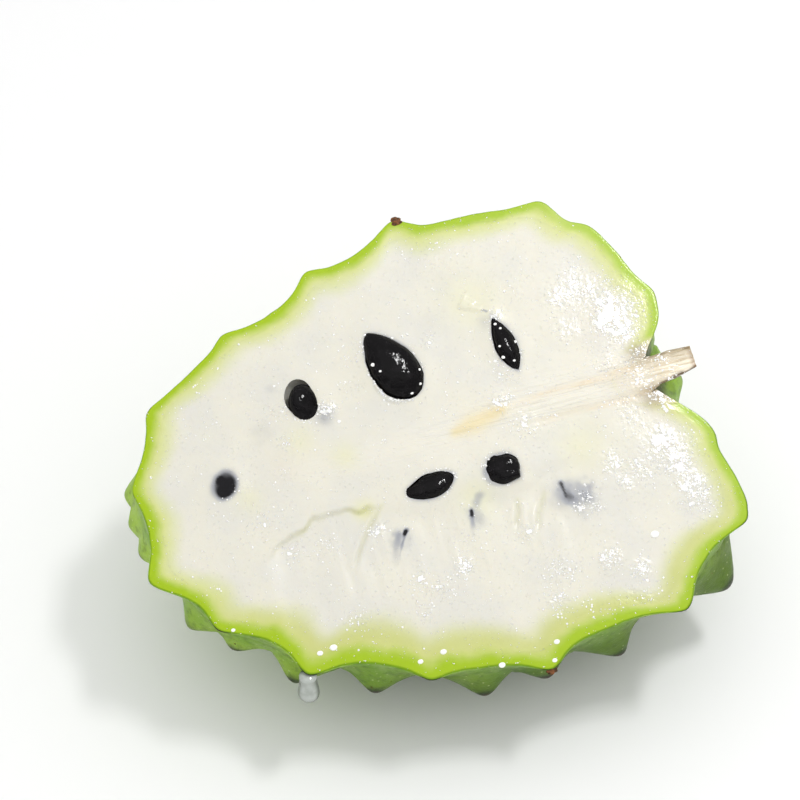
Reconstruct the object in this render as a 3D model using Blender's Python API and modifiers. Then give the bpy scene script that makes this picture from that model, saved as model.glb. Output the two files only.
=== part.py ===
"""Half an atemoya, cut from stem to blossom end, lying on its skin with the cut face up.

The fruit's own frame has its origin in the middle of the cut face: s runs towards the stem,
q across the face and n out of it. An empty holds the whole fruit and turns it in the world,
where it rests at z = 0 with its cut face leaning towards -Y.
"""

import math
import random

import bmesh
import bpy
import numpy as np
from mathutils import Matrix, Vector

MM = 0.001

# Driving dimensions, in millimetres in the fruit's frame and in degrees.
# The rind's valleys: distance from the origin, by angle from the stem axis, along the upper
# and the lower edge of the cut face and along the back of the half.
PROFILE_ANGLES = (0, 12, 25, 40, 55, 72, 90, 110, 130, 155, 180)
UPPER_EDGE = (51, 58.0, 59.8, 57.6, 52.6, 45.4, 41.0, 38.2, 40.2, 49.6, 56.0)
LOWER_EDGE = (51, 60.0, 65.6, 64.4, 58.2, 52.6, 49.6, 47.4, 48.6, 54.6, 56.0)
BACK = (51, 59.0, 64.0, 62.6, 56.6, 50.4, 46.8, 45.6, 48.0, 53.6, 56.0)

RIND = 2.2
RIND_SHARE = 0.45
GAP = 0.3

# Bumps of the rind. Those cut through by the knife: angle in the cut face and height.
EDGE_BUMPS = (
    (35, 2.2), (46, 3.8), (78, 4.2), (105, 3.2), (135, 2.6), (159, 3.0), (176, 1.8),
    (-165, 5.2), (-149, 2.6), (-128, 5.2), (-101, 2.6), (-75, 4.2), (-48, 5.6), (-29, 5.6),
    (-14, 2.4), (16, 2.2),
)
# The row just behind them: angle in the cut face and height, all as far behind the face.
SECOND_ROW = (
    (173, 6.6), (179.5, 6.2), (-174, 6.2), (-156, 6.2), (-146, 5.0), (-131, 7.2), (-113, 5.6),
    (-88, 5.8), (-74, 5.6), (-59, 7.4), (-37, 12.0), (-18, 4.8), (24, 4.4), (42, 4.6), (60, 4.4),
    (84, 4.4), (104, 4.2), (124, 4.2), (146, 4.6), (160, 5.0),
)
SECOND_ROW_DROP = 14
# The rest follow the spiral in which the carpels grew, closer and longer near the stem.
SPIRAL_BUMPS = 158
SPIRAL_HEIGHT = (3.8, 5.4)
SPIRAL_JITTER = 0.12
SPIRAL_CLEAR = 11.5
SPIRAL_BELOW = 0.22
SEED_OF_CHANCE = 11

# A bump's slope falls off over its width, part of which grows with its height. Its tip is
# blunt over a small radius. Within the stem's zone, in degrees, bumps are drawn out and creased.
BUMP_WIDTH = 3.4
WIDTH_SHARE_OF_HEIGHT = 0.3
USUAL_HEIGHT = 4.5
BUMP_TIP = 2.4
JOINING_POWER = 3
STEM_ZONE = 50
STEM_ZONE_EDGE = 3
FINGER_LENGTH = 3.0
CREASE = 1.0
CREASE_WIDTH = 1.1
CREASE_BELOW_FACE = 8
FADE_ABOVE_FACE = 6
FAR_AWAY = 1000.0

# Fineness of the balls that the rind and the flesh start as, and of turned shapes.
RIND_FINENESS = 7
FLESH_FINENESS = 5
RIND_FACES_KEPT = 0.104
TURNED_SIDES = 24

# Stem stub and core, turned about the stem axis: place along it and radius.
CORE_PROFILE = (
    (62.5, 2.75), (57.0, 2.8), (54.0, 3.2), (50.5, 4.3), (45.0, 3.4), (32.0, 2.7), (18.0, 2.2),
    (8.0, 1.4), (2.0, 0.7),
)

# Seeds: place in the face, how far the top stands out of it, long axis in the face, its dip
# into the flesh, roll about it, and size against the full one.
SEED_LENGTH, SEED_WIDTH, SEED_THICKNESS = 17.0, 10.4, 7.4
SEEDS = (
    (1.0, 15.9, 3.0, 112, 4, 0, 1.0),
    (25.4, 14.4, 2.2, 99, 6, 62, 0.74),
    (-17.4, 11.3, 2.2, -52, -46, -30, 0.86),
    (-41.4, 1.2, 0.7, 155, -52, 10, 0.86),
    (0.9, -10.9, 1.8, -172, -8, 48, 0.68),
    (14.9, -9.8, 2.0, 136, -50, 10, 0.86),
    (8.7, -22.0, 0.1, -80, -46, 70, 0.86),
    (-7.1, -22.3, 0.0, -100, -44, 80, 0.86),
    (29.6, -23.0, 0.2, -60, -42, 20, 0.86),
)
SEED_TAPER, SEED_POINT = 0.22, 0.12
POCKET_PLAY = 0.45
SEED_SIDES, SEED_RINGS = 14, 9

# How the half lies: the face's lean from level, the way it leans, and the fruit's roll in it.
LEAN = 25.1
LEAN_TOWARDS = 6.8
ROLL = 9.8
FLAT_DEPTH = 3.4

RIND_COLOUR = (0.28, 0.48, 0.06, 1.0)
FLESH_COLOUR = (0.86, 0.84, 0.72, 1.0)
CORE_COLOUR = (0.76, 0.62, 0.42, 1.0)
SEED_COLOUR = (0.012, 0.009, 0.010, 1.0)

GOLDEN_ANGLE = math.pi * (3 - math.sqrt(5))
CUTTER_REACH = 200


def clear_scene():
    for obj in list(bpy.data.objects):
        bpy.data.objects.remove(obj)


def collection(name):
    made = bpy.data.collections.new(name)
    bpy.context.scene.collection.children.link(made)
    return made


def material(name, colour, roughness):
    made = bpy.data.materials.new(name)
    made.use_nodes = True
    shader = made.node_tree.nodes["Principled BSDF"]
    shader.inputs["Base Color"].default_value = colour
    shader.inputs["Roughness"].default_value = roughness
    shader.inputs["Metallic"].default_value = 0.0
    return made


def profile_radius(angle, radii):
    """A smooth curve through one profile's radii, level at both poles."""
    knots = np.radians(PROFILE_ANGLES)
    radii = np.asarray(radii, float)
    slopes = np.gradient(radii, knots)
    slopes[0] = slopes[-1] = 0
    span = np.clip(np.searchsorted(knots, angle, side="right") - 1, 0, len(knots) - 2)
    width = knots[span + 1] - knots[span]
    t = np.clip((angle - knots[span]) / width, 0, 1)
    start = (1 + 2 * t) * (1 - t) ** 2 * radii[span] + t * (1 - t) ** 2 * width * slopes[span]
    end = t * t * (3 - 2 * t) * radii[span + 1] - t * t * (1 - t) * width * slopes[span + 1]
    return start + end


def valley_radius(ways):
    """The rind's smooth form, without its bumps, in each direction."""
    angle = np.arccos(np.clip(ways[:, 0], -1, 1))
    round_axis = np.maximum(np.hypot(ways[:, 1], ways[:, 2]), 1e-9)
    across, deep = ways[:, 1] / round_axis, ways[:, 2] / round_axis
    upper = np.maximum(across, 0) ** 2 * profile_radius(angle, UPPER_EDGE)
    lower = np.minimum(across, 0) ** 2 * profile_radius(angle, LOWER_EDGE)
    return upper + lower + deep**2 * profile_radius(angle, BACK)


def way_in_face(angle, drop):
    """The direction at an angle in the cut face and dropped behind it, in degrees."""
    turn, fall = math.radians(angle), math.radians(drop)
    return (math.cos(turn) * math.cos(fall), math.sin(turn) * math.cos(fall), -math.sin(fall))


def spiral_bumps(taken):
    """Bumps on the carpels' spiral, behind the face and clear of those already placed."""
    chance = random.Random(SEED_OF_CHANCE)
    for i in range(SPIRAL_BUMPS):
        along = 1 - 2 * (i + 0.5) / SPIRAL_BUMPS
        turn = i * GOLDEN_ANGLE + chance.uniform(-SPIRAL_JITTER, SPIRAL_JITTER)
        height = chance.uniform(*SPIRAL_HEIGHT)
        aside = math.sqrt(1 - along * along)
        way = np.array([[along, aside * math.cos(turn), aside * math.sin(turn)]])
        place = way[0] * valley_radius(way)[0]
        if way[0][2] > -SPIRAL_BELOW:
            continue
        if all(np.linalg.norm(place - other) > SPIRAL_CLEAR for other in taken):
            yield way[0], height


def rind_bumps():
    """Each bump's place, its axes on the rind, and its height."""
    placed = [(way_in_face(angle, 0), height) for angle, height in EDGE_BUMPS]
    placed += [(way_in_face(angle, SECOND_ROW_DROP), height) for angle, height in SECOND_ROW]
    ways = np.array([way for way, _ in placed])
    places = ways * valley_radius(ways)[:, None]
    placed += list(spiral_bumps(places))
    bumps = []
    for way, height in placed:
        way = np.asarray(way)
        place = way * valley_radius(way[None])[0]
        to_stem = np.array([1.0, 0.0, 0.0]) - way[0] * way
        to_stem /= max(np.linalg.norm(to_stem), 1e-9)
        bumps.append((place, way, to_stem, np.cross(way, to_stem), height))
    return bumps


def bump_relief(ways, radii, bumps):
    """How far the rind stands out of its valleys: blunt cones, drawn out like fingers near
    the stem, with a crease where two of them meet there."""
    points = ways * radii[:, None]
    powers = np.zeros(len(points))
    nearest = np.full(len(points), FAR_AWAY)
    second = np.full(len(points), FAR_AWAY)
    for place, way, to_stem, aside, height in bumps:
        offset = points - place
        near_stem = np.clip(1 - math.degrees(math.acos(way[0])) / STEM_ZONE, 0, 1)
        along = offset @ to_stem
        tail = 1 + FINGER_LENGTH * near_stem
        along = np.where(along > 0, along / tail, along)
        reach = np.sqrt(along**2 + (offset @ aside) ** 2 + (offset @ way) ** 2)
        fall = np.sqrt(reach**2 + BUMP_TIP**2) - BUMP_TIP
        width = BUMP_WIDTH * (1 + WIDTH_SHARE_OF_HEIGHT * (height / USUAL_HEIGHT - 1))
        powers += (height * np.exp(-fall / width)) ** JOINING_POWER
        second = np.minimum(second, np.maximum(nearest, reach))
        nearest = np.minimum(nearest, reach)
    into_zone = ways[:, 0] - math.cos(math.radians(STEM_ZONE))
    stem_side = np.clip(into_zone * STEM_ZONE_EDGE, 0, 1)
    below_face = np.clip(-ways[:, 2] * CREASE_BELOW_FACE, 0, 1)
    groove = np.exp(-(((second - nearest) / CREASE_WIDTH) ** 2))
    return powers ** (1 / JOINING_POWER) - CREASE * stem_side * below_face * groove


def ball(name, subdivisions, radius_of, where):
    """A closed ball of triangles whose every point is moved out to its own radius."""
    mesh = bpy.data.meshes.new(name)
    shell = bmesh.new()
    bmesh.ops.create_icosphere(shell, subdivisions=subdivisions, radius=1)
    shell.to_mesh(mesh)
    shell.free()
    ways = np.empty(len(mesh.vertices) * 3)
    mesh.vertices.foreach_get("co", ways)
    ways = ways.reshape(-1, 3)
    ways /= np.linalg.norm(ways, axis=1)[:, None]
    mesh.vertices.foreach_set("co", (ways * radius_of(ways)[:, None] * MM).ravel())
    mesh.update()
    obj = bpy.data.objects.new(name, mesh)
    where.objects.link(obj)
    return obj


def rind_surface(bumps):
    def radius_of(ways):
        radii = valley_radius(ways)
        kept = np.clip(1 - ways[:, 2] * FADE_ABOVE_FACE, 0, 1)
        return radii + bump_relief(ways, radii, bumps) * kept

    return radius_of


def flesh_surface(bumps, inset):
    """Just inside the rind, following its bumps a little."""
    outer = rind_surface(bumps)

    def radius_of(ways):
        radii = valley_radius(ways)
        return radii + (outer(ways) - radii) * RIND_SHARE - RIND - inset

    return radius_of


def turned(name, profile, where, extra=0.0):
    """A profile of (place, radius) pairs turned about the stem axis."""
    mesh = bpy.data.meshes.new(name)
    outline = bmesh.new()
    ends = [(profile[0][0] + extra, 0.0), (profile[-1][0] - extra, 0.0)]
    sides = [(s + extra * (i == 0) - extra * (i == len(profile) - 1), r + extra)
             for i, (s, r) in enumerate(profile)]
    points = [outline.verts.new((s * MM, r * MM, 0)) for s, r in [ends[0], *sides, ends[1]]]
    for first, then in zip(points, points[1:]):
        outline.edges.new((first, then))
    outline.to_mesh(mesh)
    outline.free()
    obj = bpy.data.objects.new(name, mesh)
    where.objects.link(obj)
    screw = obj.modifiers.new("turn", "SCREW")
    screw.axis = "X"
    screw.steps = screw.render_steps = TURNED_SIDES
    screw.use_merge_vertices = True
    screw.merge_threshold = 0.00001
    screw.use_normal_calculate = True
    return obj


def seed_turn(heading, dip, roll):
    return (
        Matrix.Rotation(math.radians(heading), 4, "Z")
        @ Matrix.Rotation(math.radians(-dip), 4, "Y")
        @ Matrix.Rotation(math.radians(roll), 4, "X")
    )


def seed_mesh(name, scale, play):
    """An egg-shaped, flattened seed, pointed at the end that its long axis heads to."""
    half = [size * scale / 2 + play for size in (SEED_LENGTH, SEED_WIDTH, SEED_THICKNESS)]
    mesh = bpy.data.meshes.new(name)
    shell = bmesh.new()
    bmesh.ops.create_uvsphere(shell, u_segments=SEED_SIDES, v_segments=SEED_RINGS, radius=1)
    for vertex in shell.verts:
        across, thick, along = vertex.co
        slim = 1 - SEED_TAPER * along - SEED_POINT * max(along, 0) ** 2
        body = Vector((along * half[0], across * half[1] * slim, thick * half[2] * slim))
        vertex.co = body * MM
    shell.to_mesh(mesh)
    shell.free()
    mesh.shade_smooth()
    return mesh


def seed_and_pocket(number, place, parts, cutters):
    """One seed, sunk until its top stands as far out as it should, and its room in the flesh."""
    s, q, top, heading, dip, roll, scale = place
    turn = seed_turn(heading, dip, roll)
    seed = bpy.data.objects.new(f"seed_{number}", seed_mesh(f"seed_{number}", scale, 0))
    highest = max((turn @ vertex.co).z for vertex in seed.data.vertices)
    room_mesh = seed_mesh(f"pocket_{number}", scale, POCKET_PLAY)
    pocket = bpy.data.objects.new(f"pocket_{number}", room_mesh)
    for obj, where in ((seed, parts), (pocket, cutters)):
        obj.matrix_basis = Matrix.Translation(Vector((s, q, top - highest / MM)) * MM) @ turn
        where.objects.link(obj)
    return seed, pocket


def block(name, centre, where):
    """A great cube that takes away all that lies on one side of a plane."""
    mesh = bpy.data.meshes.new(name)
    cube = bmesh.new()
    bmesh.ops.create_cube(cube, size=CUTTER_REACH * MM)
    cube.to_mesh(mesh)
    cube.free()
    obj = bpy.data.objects.new(name, mesh)
    obj.matrix_basis = Matrix.Translation(Vector(centre) * MM)
    where.objects.link(obj)
    return obj


def hide(cutter):
    cutter.hide_render = True
    cutter.display_type = "WIRE"


def cut(obj, cutter):
    boolean = obj.modifiers.new(f"less {cutter.name}", "BOOLEAN")
    boolean.operation = "DIFFERENCE"
    boolean.solver = "EXACT"
    boolean.object = cutter
    hide(cutter)


def thin_out(obj, share):
    fewer = obj.modifiers.new("fewer faces", "DECIMATE")
    fewer.ratio = share
    fewer.use_collapse_triangulate = True


def world_turn():
    return (
        Matrix.Rotation(math.radians(LEAN_TOWARDS), 4, "Z")
        @ Matrix.Rotation(math.radians(LEAN), 4, "X")
        @ Matrix.Rotation(math.radians(ROLL), 4, "Z")
    )


def lowest_point(obj, turn):
    """How low the skin's back reaches once the fruit is turned, in metres."""
    return min((turn @ vertex.co).z for vertex in obj.data.vertices if vertex.co.z < 0)


def stand_at_origin(holder, nodes):
    """Moves the whole fruit so that the middle of its footprint's box is the origin."""
    bpy.context.view_layer.update()
    graph = bpy.context.evaluated_depsgraph_get()
    corners = []
    for node in nodes:
        seen = node.evaluated_get(graph)
        corners += [seen.matrix_world @ vertex.co for vertex in seen.data.vertices]
    low = [min(corner[axis] for corner in corners) for axis in range(3)]
    high = [max(corner[axis] for corner in corners) for axis in range(3)]
    holder.location = (-(low[0] + high[0]) / 2, -(low[1] + high[1]) / 2, -low[2])


def build():
    clear_scene()
    parts, cutters = collection("atemoya_half"), collection("cutters")
    holder = bpy.data.objects.new("fruit_frame", None)
    parts.objects.link(holder)
    bumps = rind_bumps()
    turn = world_turn()

    knife = block("knife", (0, 0, CUTTER_REACH / 2), cutters)
    cavity = ball("cavity", FLESH_FINENESS, flesh_surface(bumps, 0), cutters)
    core_room = turned("core_room", CORE_PROFILE, cutters, GAP)

    skin = ball("skin", RIND_FINENESS, rind_surface(bumps), parts)
    table = block("table", (0, 0, 0), cutters)
    table_level = lowest_point(skin, turn) / MM + FLAT_DEPTH - CUTTER_REACH / 2
    table.matrix_basis = turn.inverted() @ Matrix.Translation((0, 0, table_level * MM))
    thin_out(skin, RIND_FACES_KEPT)
    for cutter in (knife, cavity, core_room, table):
        cut(skin, cutter)

    flesh = ball("flesh", FLESH_FINENESS, flesh_surface(bumps, GAP), parts)
    stem_and_core = turned("stem_and_core", CORE_PROFILE, parts)
    cut(flesh, knife)
    cut(flesh, core_room)
    cut(stem_and_core, knife)

    seeds = []
    for number, place in enumerate(SEEDS, 1):
        seed, pocket = seed_and_pocket(number, place, parts, cutters)
        seeds.append(seed)
        cut(flesh, pocket)

    looks = (
        (skin, material("rind_green", RIND_COLOUR, 0.5)),
        (flesh, material("flesh_cream", FLESH_COLOUR, 0.3)),
        (stem_and_core, material("core_beige", CORE_COLOUR, 0.6)),
    )
    for obj, look in looks:
        obj.data.materials.append(look)
    seed_black = material("seed_black", SEED_COLOUR, 0.2)
    for seed in seeds:
        seed.data.materials.append(seed_black)

    for obj in (*parts.objects, *cutters.objects):
        if obj is not holder:
            obj.parent = holder
    holder.matrix_basis = turn
    stand_at_origin(holder, [skin, flesh, stem_and_core, *seeds])


build()
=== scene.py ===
"""The looks of half an atemoya: its green rind, wet flesh, core and stub, black seeds and juice.

All shapes are worked out in the fruit's own frame, in millimetres: the origin is in the middle of
the cut face, s runs towards the stem, q across the face and n out of it.
"""

import math
import random
from itertools import product

import bmesh
import bpy
import numpy as np
from bpy.props import FloatProperty, FloatVectorProperty, IntProperty, PointerProperty
from mathutils import Matrix, Vector
from mathutils.bvhtree import BVHTree


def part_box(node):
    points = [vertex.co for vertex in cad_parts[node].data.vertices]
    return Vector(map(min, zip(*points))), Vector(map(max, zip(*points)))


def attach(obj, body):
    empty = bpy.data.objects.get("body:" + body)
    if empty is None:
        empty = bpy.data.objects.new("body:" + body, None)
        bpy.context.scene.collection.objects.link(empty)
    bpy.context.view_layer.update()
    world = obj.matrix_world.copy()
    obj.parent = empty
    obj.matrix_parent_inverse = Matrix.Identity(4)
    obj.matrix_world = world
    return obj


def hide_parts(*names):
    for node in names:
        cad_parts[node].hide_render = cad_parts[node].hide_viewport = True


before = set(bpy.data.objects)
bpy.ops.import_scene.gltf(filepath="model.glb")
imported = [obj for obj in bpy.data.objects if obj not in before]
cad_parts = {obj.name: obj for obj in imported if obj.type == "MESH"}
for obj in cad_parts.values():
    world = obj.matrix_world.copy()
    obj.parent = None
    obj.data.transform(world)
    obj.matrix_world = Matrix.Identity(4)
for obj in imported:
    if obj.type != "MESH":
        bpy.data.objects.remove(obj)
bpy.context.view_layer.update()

bl_info = {
    "name": "Atemoya Half",
    "version": (1, 0, 0),
    "blender": (4, 5, 0),
    "location": "View3D > Sidebar > Atemoya",
    "description": "Builds half an atemoya round its packed solids, with the stage it lies on",
    "category": "Object",
}

MM = 0.001

# The rind's valleys: distance from the origin, by angle from the stem axis, along the upper
# and the lower edge of the cut face and along the back of the half.
PROFILE_ANGLES = (0, 12, 25, 40, 55, 72, 90, 110, 130, 155, 180)
UPPER_EDGE = (51, 58.0, 59.8, 57.6, 52.6, 45.4, 41.0, 38.2, 40.2, 49.6, 56.0)
LOWER_EDGE = (51, 60.0, 65.6, 64.4, 58.2, 52.6, 49.6, 47.4, 48.6, 54.6, 56.0)
BACK = (51, 59.0, 64.0, 62.6, 56.6, 50.4, 46.8, 45.6, 48.0, 53.6, 56.0)

# Bumps of the rind. Those cut through by the knife: angle in the cut face and height.
EDGE_BUMPS = (
    (35, 2.2), (46, 3.8), (78, 4.2), (105, 3.2), (135, 2.6), (159, 3.0), (176, 1.8),
    (-165, 5.2), (-149, 2.6), (-128, 5.2), (-101, 2.6), (-75, 4.2), (-48, 5.6), (-29, 5.6),
    (-14, 2.4), (16, 2.2),
)
# The row just behind them: angle in the cut face and height, all as far behind the face.
SECOND_ROW = (
    (173, 6.6), (179.5, 6.2), (-174, 6.2), (-156, 6.2), (-146, 5.0), (-131, 7.2), (-113, 5.6),
    (-88, 5.8), (-74, 5.6), (-59, 7.4), (-37, 12.0), (-18, 4.8), (24, 4.4), (42, 4.6), (60, 4.4),
    (84, 4.4), (104, 4.2), (124, 4.2), (146, 4.6), (160, 5.0),
)
SECOND_ROW_DROP = 14
# The rest follow the spiral in which the carpels grew, closer and longer near the stem.
SPIRAL_BUMPS = 158
SPIRAL_HEIGHT = (3.8, 5.4)
SPIRAL_CLEAR = 11.5
SPIRAL_BELOW = 0.22
GOLDEN_ANGLE = math.pi * (3 - math.sqrt(5))
SEED_OF_CHANCE = 11
STEM_ZONE = 50
BUMP_WIDTH = 3.4
WIDTH_SHARE_OF_HEIGHT = 0.3
USUAL_HEIGHT = 4.5
BUMP_TIP = 2.4
FINGER_LENGTH = 3.0
CREASE = 1.3
CREASE_WIDTH = 0.9
CREASE_BELOW_FACE = 8
FAR_AWAY = 1000.0
ON_AXIS = 1e-9

RIND = 2.2
RIND_SHARE = 0.45
# How far neighbouring pieces run into each other, so that no slit shows between them.
OVERLAP = 0.02

# Stem stub and core, turned about the stem axis: place along it and radius.
CORE_PROFILE = (
    (62.5, 2.75), (57.0, 2.8), (54.0, 3.2), (50.5, 4.3), (45.0, 3.4), (32.0, 2.7), (18.0, 2.2),
    (8.0, 1.4), (2.0, 0.7),
)
# How the stub bends towards the upper edge, and its width against the usual, by place along it.
STUB_PLACES = (51.0, 54.0, 57.5, 62.5)
STUB_BEND = (0.0, 0.5, 0.9, 1.4)
STUB_WIDTH = (1.0, 1.0, 1.12, 0.85)

# Seeds: place in the face, how far the top stands out of it, long axis in the face, its dip
# into the flesh, roll about it, and size against the full one.
SEED_LENGTH, SEED_WIDTH, SEED_THICKNESS = 17.0, 10.4, 7.4
SEED_SIDES, SEED_RINGS = 14, 9
SEEDS = (
    (1.0, 15.9, 3.0, 112, 4, 0, 1.0),
    (25.4, 14.4, 2.2, 99, 6, 62, 0.74),
    (-17.4, 11.3, 2.2, -52, -46, -30, 0.86),
    (-41.4, 1.2, 0.7, 155, -52, 10, 0.86),
    (0.9, -10.9, 1.8, -172, -8, 48, 0.68),
    (14.9, -9.8, 2.0, 136, -50, 10, 0.86),
    (8.7, -22.0, 0.1, -80, -46, 70, 0.86),
    (-7.1, -22.3, 0.0, -100, -44, 80, 0.86),
    (29.6, -23.0, 0.2, -60, -42, 20, 0.86),
)
# Each seed's own form: how sharp the end is that it heads to, and the other; girth and length
# against the usual; and how dented it is.
SEED_FORMS = (
    (0.16, 0.05, 0.95, 1.0, 1.0), (0.42, 0.46, 0.86, 1.14, 1.2), (0.0, 0.0, 0.95, 1.0, 1.0),
    (0.0, 0.0, 1.0, 1.0, 1.0), (0.06, 0.30, 0.97, 1.12, 1.4), (0.2, 0.1, 1.0, 1.0, 4.6),
    (0.0, 0.0, 1.0, 1.0, 0.5), (0.0, 0.0, 1.0, 1.0, 0.5), (0.0, 0.0, 1.0, 1.0, 0.5),
)
# Corners that jut out of a seed: which seed, the way in the face in degrees, how far, how wide.
SEED_CORNERS = (
    (0, 128, 0.5, 0.4), (1, -83, 1.2, 0.25), (4, 176, 1.0, 0.5), (5, -42, 1.5, 0.34), (5, 128, 0.5, 0.4),
    (5, 20, 0.3, 0.3), (5, -110, 0.3, 0.35),
)
# How the flesh meets each seed: its level there, whether a film of it covers the seed, strength
# of the seed's shadow through it, how far the shadow reaches, and how far the pocket is pulled
# aside.
SEED_BEDS = (
    (0.00, False, 0.40, 0.5, (-0.22, -0.35)),
    (-0.05, False, 0.42, 0.6, (-0.2, 0.0)),
    (-0.05, False, 0.10, 0.5, (-0.5, 1.2)),
    (0.10, True, 1.15, 0.75, (0.0, 0.0)),
    (0.05, False, 0.42, 0.6, (-0.2, 0.1)),
    (0.00, False, 0.42, 0.6, (-0.1, 0.1)),
    (-0.36, True, 0.26, 0.5, (0.0, 0.0)),
    (-0.42, True, 0.20, 0.5, (0.0, 0.0)),
    (-0.30, True, 0.36, 1.8, (0.0, 0.0)),
)
FILM = 0.06
BED_REACH = 2.6
POCKET_PLAY = 0.10

# How the half lies: the face's lean from level, the way it leans, and the fruit's roll in it.
LEAN = 25.1
LEAN_TOWARDS = 6.8
ROLL = 9.8

# Marks in the cut face, as (s, q) points: where torn flesh ends in a ledge and sinks below it,
# creases that run from it, and the beige strands on both sides of the core.
LEDGE = (
    (-34.0, -16.4), (-32.2, -14.9), (-28.8, -13.2), (-26.0, -12.9), (-23.3, -10.8), (-19.7, -10.7),
    (-16.6, -10.9), (-14.3, -11.7), (-11.2, -11.9), (-7.0, -12.0),
)
LEDGE_GREEN = ((-14.0, -12.6, 2.6, 0.9), (-25.5, -13.2, 2.2, 0.7))
CREASES = (
    ((-9.2, -12.4), (-13.1, -16.3), (-15.7, -19.8), (-19.0, -24.9)),
    ((18.0, -18.6), (17.2, -21.5), (15.7, -24.7)),
    ((23.8, -18.6), (21.4, -22.4), (19.9, -26.4)),
)
STRANDS = (
    ((53.0, 2.4), (42.1, 1.8), (33.4, 1.9), (24.4, 1.2), (19.9, 0.6)),
    ((54.5, -3.4), (44.6, -3.9), (36.1, -3.3), (27.2, -4.0)),
)
# A raised, torn lip of flesh beside the largest seed.
TORN_LIP = ((-3.6, 13.4), (-3.4, 11.9), (-2.3, 9.3), (-0.0, 8.0), (3.0, 7.8))
GOLD_PATCH = ((9.6, -1.5), (14.8, -0.5), (19.9, 0.6))
# Wet places, as s, q, reach and strength.
MOIST_PLACES = (
    (47.6, 14.5, 3.6, 1.9), (49.7, 11.0, 3.2, 1.8), (48.3, 18.0, 3.4, 1.5), (45.9, 21.5, 3.4, 1.0),
    (43, 22, 5, 0.8), (38.7, 21.5, 2.6, 1.1), (38, 14, 3, 0.7), (50, 16, 7, 1.0), (51.5, 5.5, 3, 1.0),
    (31, 26, 4, 0.3), (51.0, -14.5, 3.2, 1.8), (53.6, -24.6, 2.8, 1.7), (52.6, -19.6, 3.0, 1.7),
    (51, -16, 6, 1.0), (44, -19, 4, 0.8), (54, -28, 4, 1.0), (46, -8, 3.4, 0.7), (49, 1, 4.5, 0.8), (38.9, -16.1, 2.6, 1.2), (40.5, -21.0, 2.2, 0.9),
    (56, -2, 4, 0.9), (53, -4.4, 3.0, 1.1), (33, -24, 2, 0.8),
    (33.0, -35.5, 2.4, 1.5), (37.9, -39.4, 2.4, 1.4), (36, -45, 4, 0.7), (22, -35, 4, 0.8),
    (20, -41, 3, 0.9), (-6, -30, 3, 0.8), (-20, -34, 2.6, 0.8), (-21, -42, 3, 0.5), (6, -24, 3, 0.5),
    (3.4, -29, 2.4, 1.2), (-2.5, -32.5, 2.2, 1.2), (17.5, -25.5, 1.7, 1.3), (24, -3, 3.4, 0.9),
    (31.4, -22.0, 1.6, 1.6), (29.6, -23.6, 1.2, 1.5), (55.4, 2.6, 2.4, 0.9), (52.4, -2.6, 3.4, 1.0),
    (54.6, -7.6, 2.4, 1.0), (51.6, 4.4, 2.6, 0.9), (46.0, -5.0, 3.4, 0.7), (44.0, 4.0, 3.4, 0.6),
    (20.5, 2.2, 2.6, 1.2), (-24, 12, 2.4, 0.7), (-14.6, 10.2, 2.0, 1.4), (-33, -10, 3, 0.7),
    (-29, -17, 2, 1.0), (30, -46, 4, 0.5), (-5, 20, 3, 0.6), (-8, 13, 2.2, 0.6), (9.6, 19, 2.2, 0.7),
    (16, 36, 4, 0.3), (23.6, 9.2, 2.4, 0.9), (24.5, 20.5, 1.8, 1.0), (-24.6, 5.2, 2.2, 1.0),
    (-36.6, -1.6, 1.6, 1.0), (-7, -36, 2.4, 0.8), (-11.5, -17.2, 1.8, 1.0), (-21.8, -17.6, 1.7, 0.9),
)
YELLOW_PLACES = (
    (-13.7, -0.3, 3.0, 0.5), (-21.7, 5.2, 3.0, 0.4), (44.7, 38.8, 4.0, 0.5), (-34.9, -4.4, 3.0, 0.4),
    (20.7, 25.4, 6.0, 0.4), (-13.0, -12.6, 2.2, 0.9), (10.0, -16.0, 4.0, 0.5), (34.0, -11.0, 5.0, 0.4),
)
PINK_PLACES = (
    (50.0, -1.0, 5.0, 0.9), (44.0, 13.0, 6.0, 0.25), (47.0, 1.0, 4.0, 0.6), (53.0, -6.0, 3.5, 0.7),
    (-27.0, 1.0, 4.0, 0.25),
)
HIDDEN_SEEDS = (
    (-28.7, 8.6, 3.4, 0.20), (-15.4, 9.0, 2.6, 0.34), (30.6, -22.6, 3.4, 0.24), (28.0, -19.8, 2.2, 0.26),
    (-24.6, 17.4, 1.6, 0.18), (26.0, 15.0, 4.4, 0.16), (22.2, 19.6, 2.4, 0.20),
)
# Streaks of a seed's shadow in the flesh: strength, width and the line they follow.
SMUDGES = (
    (0.40, 1.3, ((-7.6, -19.4), (-8.9, -21.6), (-9.9, -24.6))),
    (0.62, 0.32, ((-6.4, -19.8), (-7.6, -21.6), (-8.6, -23.6))),
    (1.30, 0.50, ((-6.1, -19.0), (-6.7, -20.0))),
    (0.34, 1.0, ((10.6, -15.8), (8.4, -18.6))),
    (0.44, 0.7, ((8.0, -19.4), (7.1, -23.4))),
    (1.30, 0.75, ((8.1, -18.5), (7.9, -19.9))),
    (0.85, 0.60, ((27.6, -17.6), (27.8, -20.6), (28.8, -22.6))),
    (0.60, 1.8, ((28.0, -19.6), (29.8, -24.6))),
    (0.46, 2.4, ((31.6, -20.2), (33.0, -24.0))),
)
# Most strength of the painted shadow ring round a seed.
SEED_HALO = 0.42
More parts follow.
